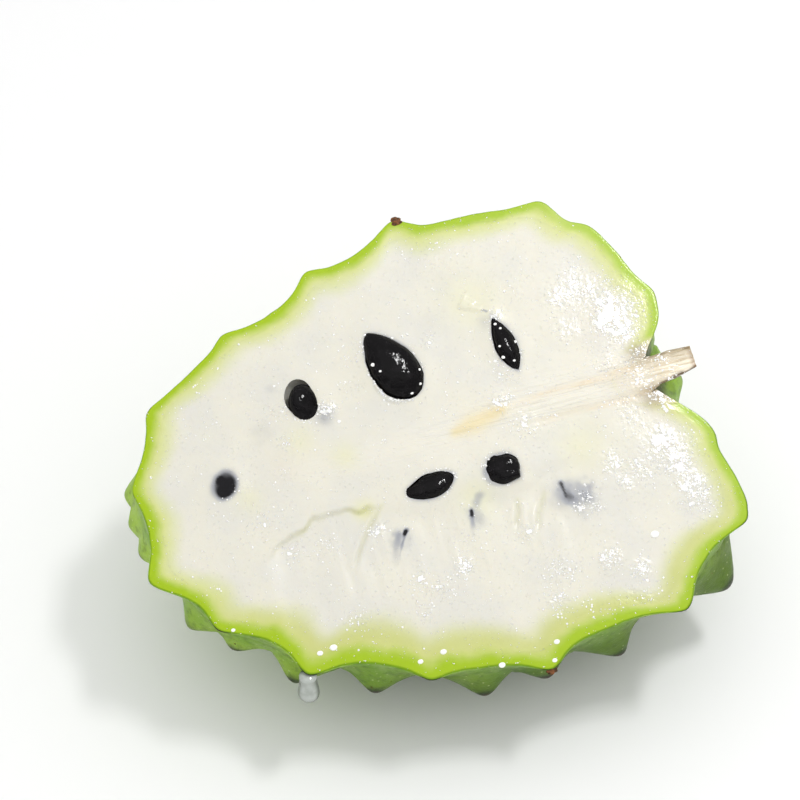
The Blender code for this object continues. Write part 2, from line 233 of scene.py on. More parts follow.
# How wide the lime band is round the face, against its usual width: by angle, in degrees.
BAND_ANGLES = (-180, -150, -120, -90, -60, -30, 0, 30, 60, 90, 120, 150, 180)
BAND_WIDTHS = (0.9, 1.1, 1.45, 1.35, 1.2, 1.0, 0.95, 0.9, 0.95, 0.9, 0.9, 0.9, 0.85)
RIM_DROPS = (
    (-29.5, -38.6, 1.3), (-26.6, -38.2, 1.6), (-10.6, -45.6, 1.2), (-5.6, -44.9, 1.4),
    (5.0, -50.6, 1.4), (17.0, -49.0, 1.3), (15.5, -52.5, 1.1), (43.0, -33.0, 1.9), (-45.0, -29.5, 0.9),
)
# Beads of juice that stand on the brims of the seeds.
SEED_DROPS = (
    (-2.7, 23.6, 0.6), (-3.0, 16.5, 1.0), (-2.0, 14.6, 0.6), (6.0, 13.1, 0.7), (5.4, 10.2, 0.7),
    (3.2, 8.7, 0.7), (6.1, 17.0, 0.5), (2.6, 21.5, 0.6), (-1.3, 8.8, 0.7), (24.9, 17.4, 0.6),
    (24.2, 18.7, 0.7), (27.2, 14.0, 0.8), (23.6, 13.6, 0.6), (22.0, 11.1, 0.8), (23.8, 11.3, 0.9),
    (25.7, 9.9, 0.6), (-12.9, 7.0, 0.8), (-23.8, 17.8, 0.6),
)
# Dried ends of the flower on the rim: place, how far behind the face, and size.
DRIED_TIPS = ((10.6, 46.4, 0.2, 2.6), (14.4, -54.2, 0.5, 2.2), (-57.0, -15.4, 1.4, 2.2))
DRIP_AT = (-33.0, -42.3, -0.6)

COLUMNS = 640
NOISE_CELLS = 32


def display(red, green, blue):
    """A colour as a screen shows it, from 0 to 255, as the linear colour that shaders take."""
    return tuple((value / 255) ** 2.2 for value in (red, green, blue)) + (1.0,)


def colour_property(name, description, default):
    return FloatVectorProperty(
        name=name, description=description, subtype="COLOR", size=4, min=0, max=1, default=default
    )


def length_property(name, description, default):
    return FloatProperty(
        name=name, description=description, default=default * MM, min=0, unit="LENGTH", precision=5
    )


class AtemoyaRind(bpy.types.PropertyGroup):
    green: colour_property("Green", "Most of the skin", display(128, 172, 44))
    light: colour_property("Light green", "Lit, ripe patches of the skin", display(158, 194, 62))
    bloom: colour_property("Bloom", "Pale film in the valleys", display(172, 196, 118))
    deep: colour_property("Deep green", "Grooves and the shaded side", display(54, 80, 8))
    scar: colour_property("Scar", "Dried tips and specks", display(52, 40, 22))
    fine_relief: length_property("Fine relief", "Height of the skin's small unevenness", 0.22)
    pore_size: length_property("Pore size", "Size of the skin's leathery grain", 0.5)
    speck_size: length_property("Speck size", "Radius of the largest dark specks", 0.26)
    speck_density: FloatProperty(
        name="Speck density", description="Dark specks on a square metre", default=26000, min=0
    )


class AtemoyaFlesh(bpy.types.PropertyGroup):
    cream: colour_property("Cream", "Most of the flesh", display(224, 221, 207))
    white: colour_property("White", "Wetter, whiter flesh", display(219, 217, 207))
    pale_green: colour_property("Pale green", "Flesh near the rind", display(204, 211, 126))
    lime: colour_property("Lime", "Cut rind", display(160, 190, 34))
    lime_edge: colour_property("Lime edge", "Outermost line of the cut rind", display(104, 142, 18))
    beige: colour_property("Beige", "Fibres of the core", display(226, 206, 172))
    gold: colour_property("Gold", "Patch beside the core", display(228, 206, 138))
    # Colour of the painted shade from the seeds.
    shadow: colour_property("Shadow", "Seeds seen through the flesh", display(160, 162, 168))
    seed_dark: colour_property("Seed dark", "Flesh against a seed", display(16, 14, 20))
    sink: length_property("Sink", "How far the flesh lies below the rim", 0.2)
    ledge_depth: length_property("Ledge depth", "Drop at the torn ledge", 0.7)
    crease_depth: length_property("Crease depth", "Depth of the creases", 0.3)
    # Colour of the painted highlights in the wet places.
    glint: colour_property("Glint", "White flecks in the wet places", display(254, 254, 252))
    wet_grain: length_property("Wet grain", "Size of the wet grains that sparkle", 0.75)


class AtemoyaCore(bpy.types.PropertyGroup):
    wood: colour_property("Wood", "Cut face of the stem stub", display(240, 230, 208))
    bark: colour_property("Bark", "Outside of the stem stub", display(150, 138, 104))
    bark_dark: colour_property("Dark bark", "Edges and end of the stub", display(70, 52, 34))
    fibre_height: length_property("Fibre height", "Height of the core's fibres", 0.12)


class AtemoyaSeeds(bpy.types.PropertyGroup):
    coat: colour_property("Seed coat", "Most of the seed", (0.002, 0.0015, 0.002, 1.0))
    coat_worn: colour_property("Worn coat", "Duller patches of the seed", (0.006, 0.005, 0.006, 1.0))
    dents: length_property("Dents", "Depth of the seed coat's dents", 0.16)


class AtemoyaJuice(bpy.types.PropertyGroup):
    clear: colour_property("Juice", "The hanging drop", display(186, 192, 186))
    # Painted highlight: the beads' white stands in for their sparkle.
    bead_glint_white: colour_property("Milky juice", "Beads on the cut face", display(252, 252, 246))
    bead_radius: length_property("Bead radius", "Radius of the largest beads", 0.30)
    bead_density: FloatProperty(
        name="Bead density", description="Beads on a square metre of the wettest flesh",
        default=5200000, min=0,
    )
    drop_length: length_property("Drop length", "How far the drop hangs", 7.6)
    drop_width: length_property("Drop width", "Width of the drop", 4.4)


class AtemoyaStage(bpy.types.PropertyGroup):
    floor: colour_property("Floor", "Pale floor and backdrop", (0.93, 0.93, 0.93, 1.0))
    surroundings: FloatProperty(
        name="Surroundings", description="Strength of the even light all round", default=0.85, min=0
    )
    window_power: FloatProperty(
        name="Window", description="Power of the key light, in watts", default=2.0, min=0
    )
    sparkle_power: FloatProperty(
        name="Sparkle", description="Power of the strip that only reflections show, in watts",
        default=3.4, min=0,
    )
    lens: FloatProperty(name="Lens", description="Focal length in millimetres", default=105, min=1)
    seed: IntProperty(name="Seed", description="Seed of chance for beads and specks", default=5)


def settings():
    return bpy.context.scene.atemoya_half


def ramp(value, low, high):
    """0 below low, 1 above high, and a smooth rise between them."""
    t = np.clip((value - low) / (high - low), 0, 1)
    return t * t * (3 - 2 * t)


def soft_noise(points, size, seed):
    """Smooth noise between -1 and 1 whose patches are about this big."""
    table = np.random.default_rng(seed).uniform(-1, 1, (NOISE_CELLS,) * 3)
    place = np.asarray(points, float) / np.asarray(size, float)
    base = np.floor(place).astype(int)
    t = place - base
    t = t * t * (3 - 2 * t)
    total = np.zeros(len(place))
    for corner in product((0, 1), repeat=3):
        index = (base + corner) % NOISE_CELLS
        weight = np.prod(np.where(corner, t, 1 - t), axis=1)
        total += weight * table[index[:, 0], index[:, 1], index[:, 2]]
    return total


def world_turn():
    return np.array(
        Matrix.Rotation(math.radians(LEAN_TOWARDS), 3, "Z")
        @ Matrix.Rotation(math.radians(LEAN), 3, "X")
        @ Matrix.Rotation(math.radians(ROLL), 3, "Z")
    )


def way_in_face(angle, drop):
    """The direction at an angle in the cut face and dropped behind it, in degrees."""
    turn, fall = math.radians(angle), math.radians(drop)
    return (math.cos(turn) * math.cos(fall), math.sin(turn) * math.cos(fall), -math.sin(fall))


def seed_turn(heading, dip, roll):
    return np.array(
        Matrix.Rotation(math.radians(heading), 3, "Z")
        @ Matrix.Rotation(math.radians(-dip), 3, "Y")
        @ Matrix.Rotation(math.radians(roll), 3, "X")
    )


def ball(sides, rings):
    """Points and faces of a ball whose poles lie along z."""
    shell = bmesh.new()
    bmesh.ops.create_uvsphere(shell, u_segments=sides, v_segments=rings, radius=1)
    points = np.array([vertex.co for vertex in shell.verts])
    faces = [[vertex.index for vertex in face.verts] for face in shell.faces]
    shell.free()
    return points, faces


def egg(scale, sides, rings, play=0.0, form=(0.0, 0.0, 1.0, 1.0, 0.0)):
    """An egg-shaped, flattened seed whose long axis is x, in its own form."""
    head, tail, girth, stretch, _ = form
    half = [size * scale / 2 + play for size in (SEED_LENGTH, SEED_WIDTH, SEED_THICKNESS)]
    half = (half[0] * stretch, half[1] * girth, half[2] * girth)
    points, faces = ball(sides, rings)
    across, thick, along = points.T
    slim = 1 - 0.22 * along - 0.12 * np.maximum(along, 0) ** 2
    slim *= np.maximum(1 - along**2, 0.001) ** np.where(along > 0, head, tail)
    body = (along * half[0], across * half[1] * slim, thick * half[2] * slim)
    return np.stack(body, axis=1), faces


def dented(number, points):
    """A seed's points, pushed in and out by its dents."""
    moved = points + (11.0 * number, 0, 0)
    dents = soft_noise(moved, 3.2, 81) - 0.4 + 0.4 * soft_noise(moved, 1.1, 82)
    depth = settings().seeds.dents / MM * SEED_FORMS[number][-1]
    return points + ways_of(points) * (depth * dents)[:, None]


def with_corners(number, placed, middle):
    """A seed's points in the fruit's frame, pushed out where it has a corner."""
    for which, angle, out, wide in SEED_CORNERS:
        if which == number:
            way = np.array(way_in_face(angle, 0))
            off = placed - middle
            flat = np.maximum(np.hypot(off[:, 0], off[:, 1]), 1e-6)
            turned = np.arccos(np.clip(off @ way / flat, -1, 1))
            push = out * np.exp(-turned / wide) * np.clip(flat, 0, 1)
            placed = placed + np.outer(push, way)
    return placed


def seed_place(seed):
    """A seed's turn and its middle, sunk until its top stands as far out as it should."""
    s, q, top, heading, dip, roll, scale = seed
    turn = seed_turn(heading, dip, roll)
    coarse, _ = egg(scale, SEED_SIDES, SEED_RINGS)
    return turn, np.array([s, q, top - (coarse @ turn.T)[:, 2].max()])


def fruit_origin():
    """Where the fruit's own frame stands in the world, from the first seed's box."""
    low, high = (np.array(corner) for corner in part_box("seed_1"))
    turn, middle = seed_place(SEEDS[0])
    coarse, _ = egg(SEEDS[0][-1], SEED_SIDES, SEED_RINGS)
    world = (coarse @ turn.T + middle) @ world_turn().T * MM
    return (low + high) / 2 - (world.min(axis=0) + world.max(axis=0)) / 2


TURN = world_turn()
ORIGIN = fruit_origin()


def to_world(points):
    return np.asarray(points, float) @ TURN.T * MM + ORIGIN


def to_fruit(points):
    return (np.asarray(points, float) - ORIGIN) @ TURN / MM


def profile_radius(angle, radii):
    """A smooth curve through one profile's radii, level at both poles."""
    knots = np.radians(PROFILE_ANGLES)
    radii = np.asarray(radii, float)
    slopes = np.gradient(radii, knots)
    slopes[0] = slopes[-1] = 0
    span = np.clip(np.searchsorted(knots, angle, side="right") - 1, 0, len(knots) - 2)
    width = knots[span + 1] - knots[span]
    t = np.clip((angle - knots[span]) / width, 0, 1)
    start = (1 + 2 * t) * (1 - t) ** 2 * radii[span] + t * (1 - t) ** 2 * width * slopes[span]
    end = t * t * (3 - 2 * t) * radii[span + 1] - t * t * (1 - t) * width * slopes[span + 1]
    return start + end


def valley_radius(ways):
    """The rind's smooth form, without its bumps, in each direction."""
    angle = np.arccos(np.clip(ways[:, 0], -1, 1))
    round_axis = np.hypot(ways[:, 1], ways[:, 2])
    on_axis = round_axis < ON_AXIS
    round_axis = np.where(on_axis, 1, round_axis)
    across = np.where(on_axis, 0, ways[:, 1] / round_axis)
    deep = np.where(on_axis, 1, ways[:, 2] / round_axis)
    upper = np.maximum(across, 0) ** 2 * profile_radius(angle, UPPER_EDGE)
    lower = np.minimum(across, 0) ** 2 * profile_radius(angle, LOWER_EDGE)
    return upper + lower + deep**2 * profile_radius(angle, BACK)


def spiral_bumps(taken):
    """Bumps on the carpels' spiral, behind the face and clear of those already placed."""
    chance = random.Random(SEED_OF_CHANCE)
    for i in range(SPIRAL_BUMPS):
        along = 1 - 2 * (i + 0.5) / SPIRAL_BUMPS
        turn = i * GOLDEN_ANGLE + chance.uniform(-0.12, 0.12)
        height = chance.uniform(*SPIRAL_HEIGHT)
        aside = math.sqrt(1 - along * along)
        way = np.array([[along, aside * math.cos(turn), aside * math.sin(turn)]])
        place = way[0] * valley_radius(way)[0]
        if way[0][2] > -SPIRAL_BELOW:
            continue
        if all(np.linalg.norm(place - other) > SPIRAL_CLEAR for other in taken):
            yield way[0], height


def rind_bumps():
    """Each bump's place, its axes on the rind, and its height."""
    placed = [(way_in_face(angle, 0), height) for angle, height in EDGE_BUMPS]
    placed += [(way_in_face(angle, SECOND_ROW_DROP), height) for angle, height in SECOND_ROW]
    ways = np.array([way for way, _ in placed])
    places = ways * valley_radius(ways)[:, None]
    placed += list(spiral_bumps(places))
    bumps = []
    for way, height in placed:
        way = np.asarray(way)
        place = way * valley_radius(way[None])[0]
        to_stem = np.array([1.0, 0.0, 0.0]) - way[0] * way
        to_stem /= max(np.linalg.norm(to_stem), 1e-9)
        bumps.append((place, way, to_stem, np.cross(way, to_stem), height))
    return bumps


BUMPS = rind_bumps()


def rind_form(ways):
    """The rind's outer radius each way, how far it stands out of its valleys, how deep in a
    groove it is, and how near the tip of a bump, with that bump's number."""
    radii = valley_radius(ways)
    points = ways * radii[:, None]
    powers = np.zeros(len(points))
    nearest = np.full(len(points), FAR_AWAY)
    second = np.full(len(points), FAR_AWAY)
    owner = np.zeros(len(points), int)
    for number, (place, way, to_stem, aside, height) in enumerate(BUMPS):
        offset = points - place
        near_stem = np.clip(1 - math.degrees(math.acos(way[0])) / STEM_ZONE, 0, 1)
        along = offset @ to_stem
        tail = 1 + FINGER_LENGTH * near_stem
        along = np.where(along > 0, along / tail, along)
        reach = np.sqrt(along**2 + (offset @ aside) ** 2 + (offset @ way) ** 2)
        fall = np.sqrt(reach**2 + BUMP_TIP**2) - BUMP_TIP
        width = BUMP_WIDTH * (1 + WIDTH_SHARE_OF_HEIGHT * (height / USUAL_HEIGHT - 1))
        powers += (height * np.exp(-fall / width)) ** 3
        second = np.minimum(second, np.maximum(nearest, reach))
        owner = np.where(reach < nearest, number, owner)
        nearest = np.minimum(nearest, reach)
    relief = np.cbrt(powers)
    stem_side = np.clip((ways[:, 0] - math.cos(math.radians(STEM_ZONE))) * 3, 0, 1)
    groove = np.exp(-(((second - nearest) / CREASE_WIDTH) ** 2))
    groove *= np.clip(-ways[:, 2] * CREASE_BELOW_FACE, 0, 1)
    fine = settings().rind.fine_relief / MM
    wave = soft_noise(points, 5.0, 3) + 0.5 * soft_noise(points, 2.2, 4)
    net = np.exp(-((soft_noise(points, 7.0, 8) / 0.12) ** 2)) * 0.4
    crease = CREASE * stem_side * groove + fine * groove * (1 - stem_side)
    outer = radii + relief - crease + fine * (wave * 0.6 - net)
    return {
        "outer": outer,
        "inner": radii + (relief - CREASE * stem_side * groove) * RIND_SHARE - RIND,
        "knob": np.clip(relief / 5, 0, 1),
        "groove": groove * (0.35 + 0.65 * stem_side),
        "tip": np.exp(-((nearest / 1.8) ** 2)),
        "owner": owner,
    }


def ways_of(points):
    return points / np.maximum(np.linalg.norm(points, axis=1), 1e-9)[:, None]


def line_reach(points, line):
    """Each point's distance from a line of points, and how far along it that is, from 0 to 1."""
    line = np.asarray(line, float)
    lengths = np.linalg.norm(np.diff(line, axis=0), axis=1)
    starts = np.concatenate(([0], np.cumsum(lengths)))
    best = np.full(len(points), FAR_AWAY)
    share = np.zeros(len(points))
    for i, length in enumerate(lengths):
        way = (line[i + 1] - line[i]) / length
        t = np.clip((points - line[i]) @ way, 0, length)
        reach = np.linalg.norm(points - line[i] - t[:, None] * way, axis=1)
        nearer = reach < best
        best = np.where(nearer, reach, best)
        share = np.where(nearer, (starts[i] + t) / starts[-1], share)
    return best, share


def patches(points, places):
    """Soft round patches, each as s, q, reach and strength, where the strongest counts."""
    total = np.zeros(len(points))
    for s, q, reach, strength in places:
        distance = np.hypot(points[:, 0] - s, points[:, 1] - q)
        total = np.maximum(total, strength * np.exp(-((distance / reach) ** 2)))
    return total


def seed_trees():
    """Each seed's middle and a search tree over its surface."""
    trees = []
    for number, seed in enumerate(SEEDS):
        turn, middle = seed_place(seed)
        points, faces = egg(seed[-1], 40, 24, 0.0, SEED_FORMS[number])
        placed = with_corners(number, points @ turn.T + middle, middle)
        trees.append((middle, BVHTree.FromPolygons([Vector(point) for point in placed], faces)))
    return trees


SEED_TREES = seed_trees()


def seed_reach(number, points, limit):
    """Distance from one seed's surface, below 0 inside it, as far as the limit."""
    middle, tree = SEED_TREES[number]
    reach = np.full(len(points), limit)
    near = np.linalg.norm(points - middle, axis=1) < limit + SEED_LENGTH / 2
    for i in np.flatnonzero(near):
        point = Vector(points[i])
        place, normal, _, distance = tree.find_nearest(point, limit)
        if place is not None:
            reach[i] = -distance if (point - place).dot(normal) < 0 else distance
    return reach


def level_points(points):
    return np.column_stack((points[:, 0], points[:, 1], np.zeros(len(points))))


def from_edge(points):
    """How far inside the rind's outer surface each point is, towards the fruit's middle."""
    return rind_form(ways_of(points))["outer"] - np.linalg.norm(points, axis=1)


def sunk_below_ledge(points):
    """How far below the torn ledge, towards the lower edge, a point in the face lies."""
    line = np.array(LEDGE)
    ledge = np.interp(points[:, 0], line[:, 0], line[:, 1])
    return ledge + 0.5 * soft_noise(level_points(points), 2.0, 17) - points[:, 1]


def face_height(points, edge):
    """How high the cut face stands at each point, given its distance from the edge."""
    flesh = settings().flesh
    level = level_points(points)
    flat = level[:, :2]
    inside = ramp(edge, 0.6, 3.6)
    height = -flesh.sink / MM * ramp(edge, 1.0, 9.0)
    height += inside * (0.10 * soft_noise(level, 11.0, 21) + 0.05 * soft_noise(level, 4.5, 22))
    height += inside * 0.012 * soft_noise(level, 1.3, 23)
    below = sunk_below_ledge(flat)
    along = ramp(flat[:, 0], -36, -30) * (1 - ramp(flat[:, 0], -13, -8))
    sharp = ramp(below, -0.3, 1.1) * along
    broad = ramp(below, 0, 5) * ramp(flat[:, 0], -36, -26) * (1 - ramp(flat[:, 0], 22, 40))
    fade = 1 - ramp(below, 4, 22)
    height -= flesh.ledge_depth / MM * np.maximum(sharp, 0.62 * broad) * fade * inside
    ribs = soft_noise(level, (2.4, 15.0, 9.0), 29) + 0.5 * soft_noise(level, (1.2, 9.0, 9.0), 30)
    height += 0.13 * ribs * broad * (1 - ramp(below, 12, 26)) * inside
    for line in CREASES:
        reach, share = line_reach(flat, line)
        strength = ramp(share, 0, 0.25) * (1 - ramp(share, 0.75, 1))
        height -= flesh.crease_depth / MM * np.exp(-((reach / 0.38) ** 2)) * strength
        height += 0.10 * np.exp(-(((reach - 1.0) / 0.6) ** 2)) * strength
    for number, (bed, _, _, _, _) in enumerate(SEED_BEDS):
        reach = np.maximum(seed_reach(number, level, 7.0), 0)
        height += np.exp(-((reach / BED_REACH) ** 2)) * (bed - height)
    ragged = np.exp(-(((line_reach(flat, TORN_LIP)[0]) / 0.45) ** 2))
    height += 0.22 * ragged * (1 + 0.8 * soft_noise(level, 0.9, 25))
    return height


def fibre_height(points):
    """Fine ridges along the core and the stub."""
    fibres = soft_noise(level_points(points), (9.0, 0.55, 9.0), 31)
    band = 1 - ramp(np.abs(points[:, 1]), 2.6, 5.0)
    return settings().core.fibre_height / MM * fibres * band * ramp(points[:, 0], 6, 30)


def cut_face(points):
    """The height of the whole cut face, core and all."""
    edge = from_edge(level_points(points))
    return face_height(points, edge) + fibre_height(points)


def face_marks(points):
    """What the cut surface shows at each point, as named shares from 0 to 1."""
    flat = points[:, :2]
    level = level_points(points)
    s, q = flat.T
    marks = {
        "from_edge": from_edge(points),
        "along": s,
        "across": q,
        "moist": np.maximum(
            patches(flat, MOIST_PLACES), np.exp(-((line_reach(flat, TORN_LIP)[0] / 0.5) ** 2))
        ),
        "yellow": patches(flat, YELLOW_PLACES),
        "pink": patches(flat, PINK_PLACES),
    }
    band = np.exp(-(((q + 0.06 * (20 - s)) / np.interp(s, (-30, 10, 50), (3.4, 3.6, 5.0))) ** 2))
    marks["core"] = band * ramp(s, -40, 20)
    strands = np.zeros(len(s))
    for line in STRANDS:
        reach, share = line_reach(flat, line)
        strands = np.maximum(strands, np.exp(-((reach / 0.8) ** 2)) * (1 - 0.6 * ramp(share, 0.4, 1)))
    marks["strand"] = strands
    reach, share = line_reach(flat, GOLD_PATCH)
    marks["gold"] = np.exp(-((reach / np.interp(share, (0, 0.4, 1), (1.1, 2.3, 1.5))) ** 2))
    creases = np.zeros(len(s))
    for line in CREASES:
        reach, share = line_reach(flat, line)
        creases = np.maximum(creases, np.exp(-((reach / 0.5) ** 2)) * (1 - ramp(share, 0.6, 1)))
    below = sunk_below_ledge(flat)
    ledge = np.exp(-(((below - 0.6) / 0.7) ** 2)) * ramp(s, -36, -31) * (1 - ramp(s, -12, -9))
    marks["crease"] = np.maximum(creases * 0.5, ledge * (0.3 + patches(flat, LEDGE_GREEN)))
    # Painted shade from the seeds: grey where they show through the flesh, painted shadow round each open seed's
    # pocket, near black over the covered ones.
    stain = patches(flat, HIDDEN_SEEDS)
    brims = np.zeros(len(s))
    for number, (_, covered, strength, far, _) in enumerate(SEED_BEDS):
        reach = seed_reach(number, level if covered else points, far * 4)
        outside = np.maximum(reach, 0)
        halo = min(strength, SEED_HALO)
        shadow = halo * (np.exp(-outside / far) - math.exp(-4))
        if covered:
            shadow += (strength - halo) * ramp(-reach, -1.0, 0.7) * (points[:, 2] > -1)
        else:
            brims = np.maximum(brims, np.exp(-(((reach - 0.3) / 0.25) ** 2)))
        stain = np.maximum(stain, shadow)
    for strength, wide, line in SMUDGES:
        reach, share = line_reach(flat, line)
        wide = wide * (1 + 0.5 * soft_noise(level, 1.1, 45))
        smudge = strength * np.exp(-((reach / wide) ** 2)) * (1 - 0.6 * ramp(share, 0.3, 1))
        stain = np.maximum(stain, smudge)
    stain *= 1 + 0.25 * soft_noise(level, 1.6, 41)
    marks["stain"] = np.clip(stain, 0, 1)
    marks["brim"] = brims * np.clip(0.5 + soft_noise(level, 1.7, 43), 0, 1)
    axis = np.hypot(q, points[:, 2])
    marks["stub"] = ramp(s, 50.5, 55.0) * (1 - ramp(axis, 3.2, 4.6))
    off_middle = np.abs(q - np.interp(s, STUB_PLACES, STUB_BEND))
    off_middle -= np.interp(s, *np.transpose(CORE_PROFILE[::-1])) * np.interp(s, STUB_PLACES, STUB_WIDTH)
    ragged = 0.35 * soft_noise(level, (1.4, 0.5, 1.0), 47)
    marks["bark_edge"] = ramp(off_middle + ragged, -0.75, -0.1)
    stem_end = ramp(s, 40, 47) * (1 - ramp(np.abs(q), 4.5, 9.0))
    angle = np.degrees(np.arctan2(q, s))
    marks["from_edge"] /= np.interp(angle, BAND_ANGLES, BAND_WIDTHS)
    marks["from_edge"] = np.maximum(marks["from_edge"], 9 * stem_end)
    marks["under"] = 0.3 + 0.7 * ramp(-q, -15, 15)
    marks["lower_band"] = np.exp(-(((marks["from_edge"] - 4.2) / 2.2) ** 2)) * ramp(-q, 16, 36)
    marks["moist"] *= 0.15 + 0.85 * ramp(marks["from_edge"], 1.8, 4.5)
    # Painted shade in the recess round the stub's foot.
    marks["notch_shade"] = ramp(s, 47.5, 51.5) * (1 - ramp(np.abs(axis - 4.5), 1.0, 4.0))
    return marks


def add_marks(mesh, marks):
    for name, values in marks.items():
        made = mesh.attributes.new(name, "FLOAT", "POINT")
        made.data.foreach_set("value", np.asarray(values, np.float32))


def mesh_points(mesh):
    points = np.empty(len(mesh.vertices) * 3)
    mesh.vertices.foreach_get("co", points)
    return points.reshape(-1, 3)


def set_points(mesh, points):
    mesh.vertices.foreach_set("co", np.asarray(points, np.float32).ravel())
    mesh.update()


def volume(points, faces):
    """The volume that the faces enclose, below 0 if they point inwards."""
    total = 0.0
    for size in {len(face) for face in faces}:
        corners = points[np.array([face for face in faces if len(face) == size])]
        for i in range(1, size - 1):
            total += np.sum(np.cross(corners[:, i], corners[:, i + 1]) * corners[:, 0])
    return total / 6


def new_object(name, points, faces):
    mesh = bpy.data.meshes.new(name)
    if volume(points, faces) < 0:
        faces = [face[::-1] for face in faces]
    mesh.from_pydata(points.tolist(), [], faces)
    mesh.shade_smooth()
    obj = bpy.data.objects.new(name, mesh)
    bpy.context.scene.collection.objects.link(obj)
    return obj


def closed_grid(start, rows, end):
    """Points and faces of a solid: a start point, rings of points, and an end point."""
    rows = np.asarray(rows)
    count, columns = rows.shape[:2]
    points = np.vstack(([start], rows.reshape(-1, 3), [end]))
    ring = np.arange(columns)
    after = (ring + 1) % columns
    faces = [[0, 1 + b, 1 + a] for a, b in zip(ring, after)]
    for row in range(count - 1):
        here = 1 + row * columns
        there = here + columns
        faces += np.stack((here + ring, here + after, there + after, there + ring), axis=1).tolist()
    last = 1 + (count - 1) * columns
    faces += [[len(points) - 1, last + a, last + b] for a, b in zip(ring, after)]
    return points, faces


def ways_round(drop):
    """Directions all round the fruit, dropped this far behind the cut face, in radians."""
    turns = np.linspace(0, 2 * math.pi, COLUMNS, endpoint=False)
    level = math.cos(drop)
    return np.column_stack(
        (np.cos(turns) * level, np.sin(turns) * level, np.full(COLUMNS, -math.sin(drop)))
    )


def plain_mesh(obj, modifier):
    """Applies the one modifier of an object by giving it the evaluated mesh."""
    graph = bpy.context.evaluated_depsgraph_get()
    made = bpy.data.meshes.new_from_object(obj.evaluated_get(graph))
    obj.modifiers.remove(modifier)
    obj.data = made
    return made


def carve(obj, cutters):
    """Takes the cutters' shapes out of an object, then removes the cutters."""
    joined = bmesh.new()
    for cutter in cutters:
        joined.from_mesh(cutter.data)
    room = bpy.data.meshes.new("room")
    joined.to_mesh(room)
    joined.free()
    for cutter in cutters:
        bpy.data.objects.remove(cutter)
    cutter = bpy.data.objects.new("room", room)
    bpy.context.scene.collection.objects.link(cutter)
    boolean = obj.modifiers.new("room", "BOOLEAN")
    boolean.operation = "DIFFERENCE"
    boolean.solver = "MANIFOLD"
    boolean.object = cutter
    bpy.context.view_layer.update()
    plain_mesh(obj, boolean)
    bpy.data.objects.remove(cutter)


def crease_edges(obj):
    """Keeps the corners crisp where two walls of a piece meet."""
    obj.data.set_sharp_from_angle(angle=math.radians(48))


def core_room():
    """A closed turned shape just larger than the stub and core."""
    turns = np.linspace(0, 2 * math.pi, 48, endpoint=False)
    profile = [(62.6, 2.75), *CORE_PROFILE[1:-1], (2.0 + OVERLAP, 0.7)]
    rings = []
    for s, radius in profile:
        wide = radius - OVERLAP
        rings.append(np.column_stack((np.full(48, s), wide * np.cos(turns), wide * np.sin(turns))))
    points, faces = closed_grid((profile[0][0], 0, 0), rings, (profile[-1][0], 0, 0))
    return new_object("core_room", points, faces)


def seed_rooms():
    rooms = []
    for number, seed in enumerate(SEEDS):
        turn, middle = seed_place(seed)
        bed, film, _, _, pull = SEED_BEDS[number]
        points, faces = egg(seed[-1], 48, 32, POCKET_PLAY, SEED_FORMS[number])
        aside = np.array((*pull, 0))
        placed = with_corners(number, dented(number, points) @ turn.T + middle, middle)
        placed += np.outer(placed @ aside > middle @ aside, aside)
        if film:
            placed[:, 2] = np.minimum(placed[:, 2], bed - FILM)
        rooms.append(new_object(f"room_{number}", placed, faces))
    return rooms


def finish(obj, node):
    """Puts a piece on the body and lets it stand for the node with its finish."""
    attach(obj, "root")
    for name in [node] if isinstance(node, str) else node:
        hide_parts(name)


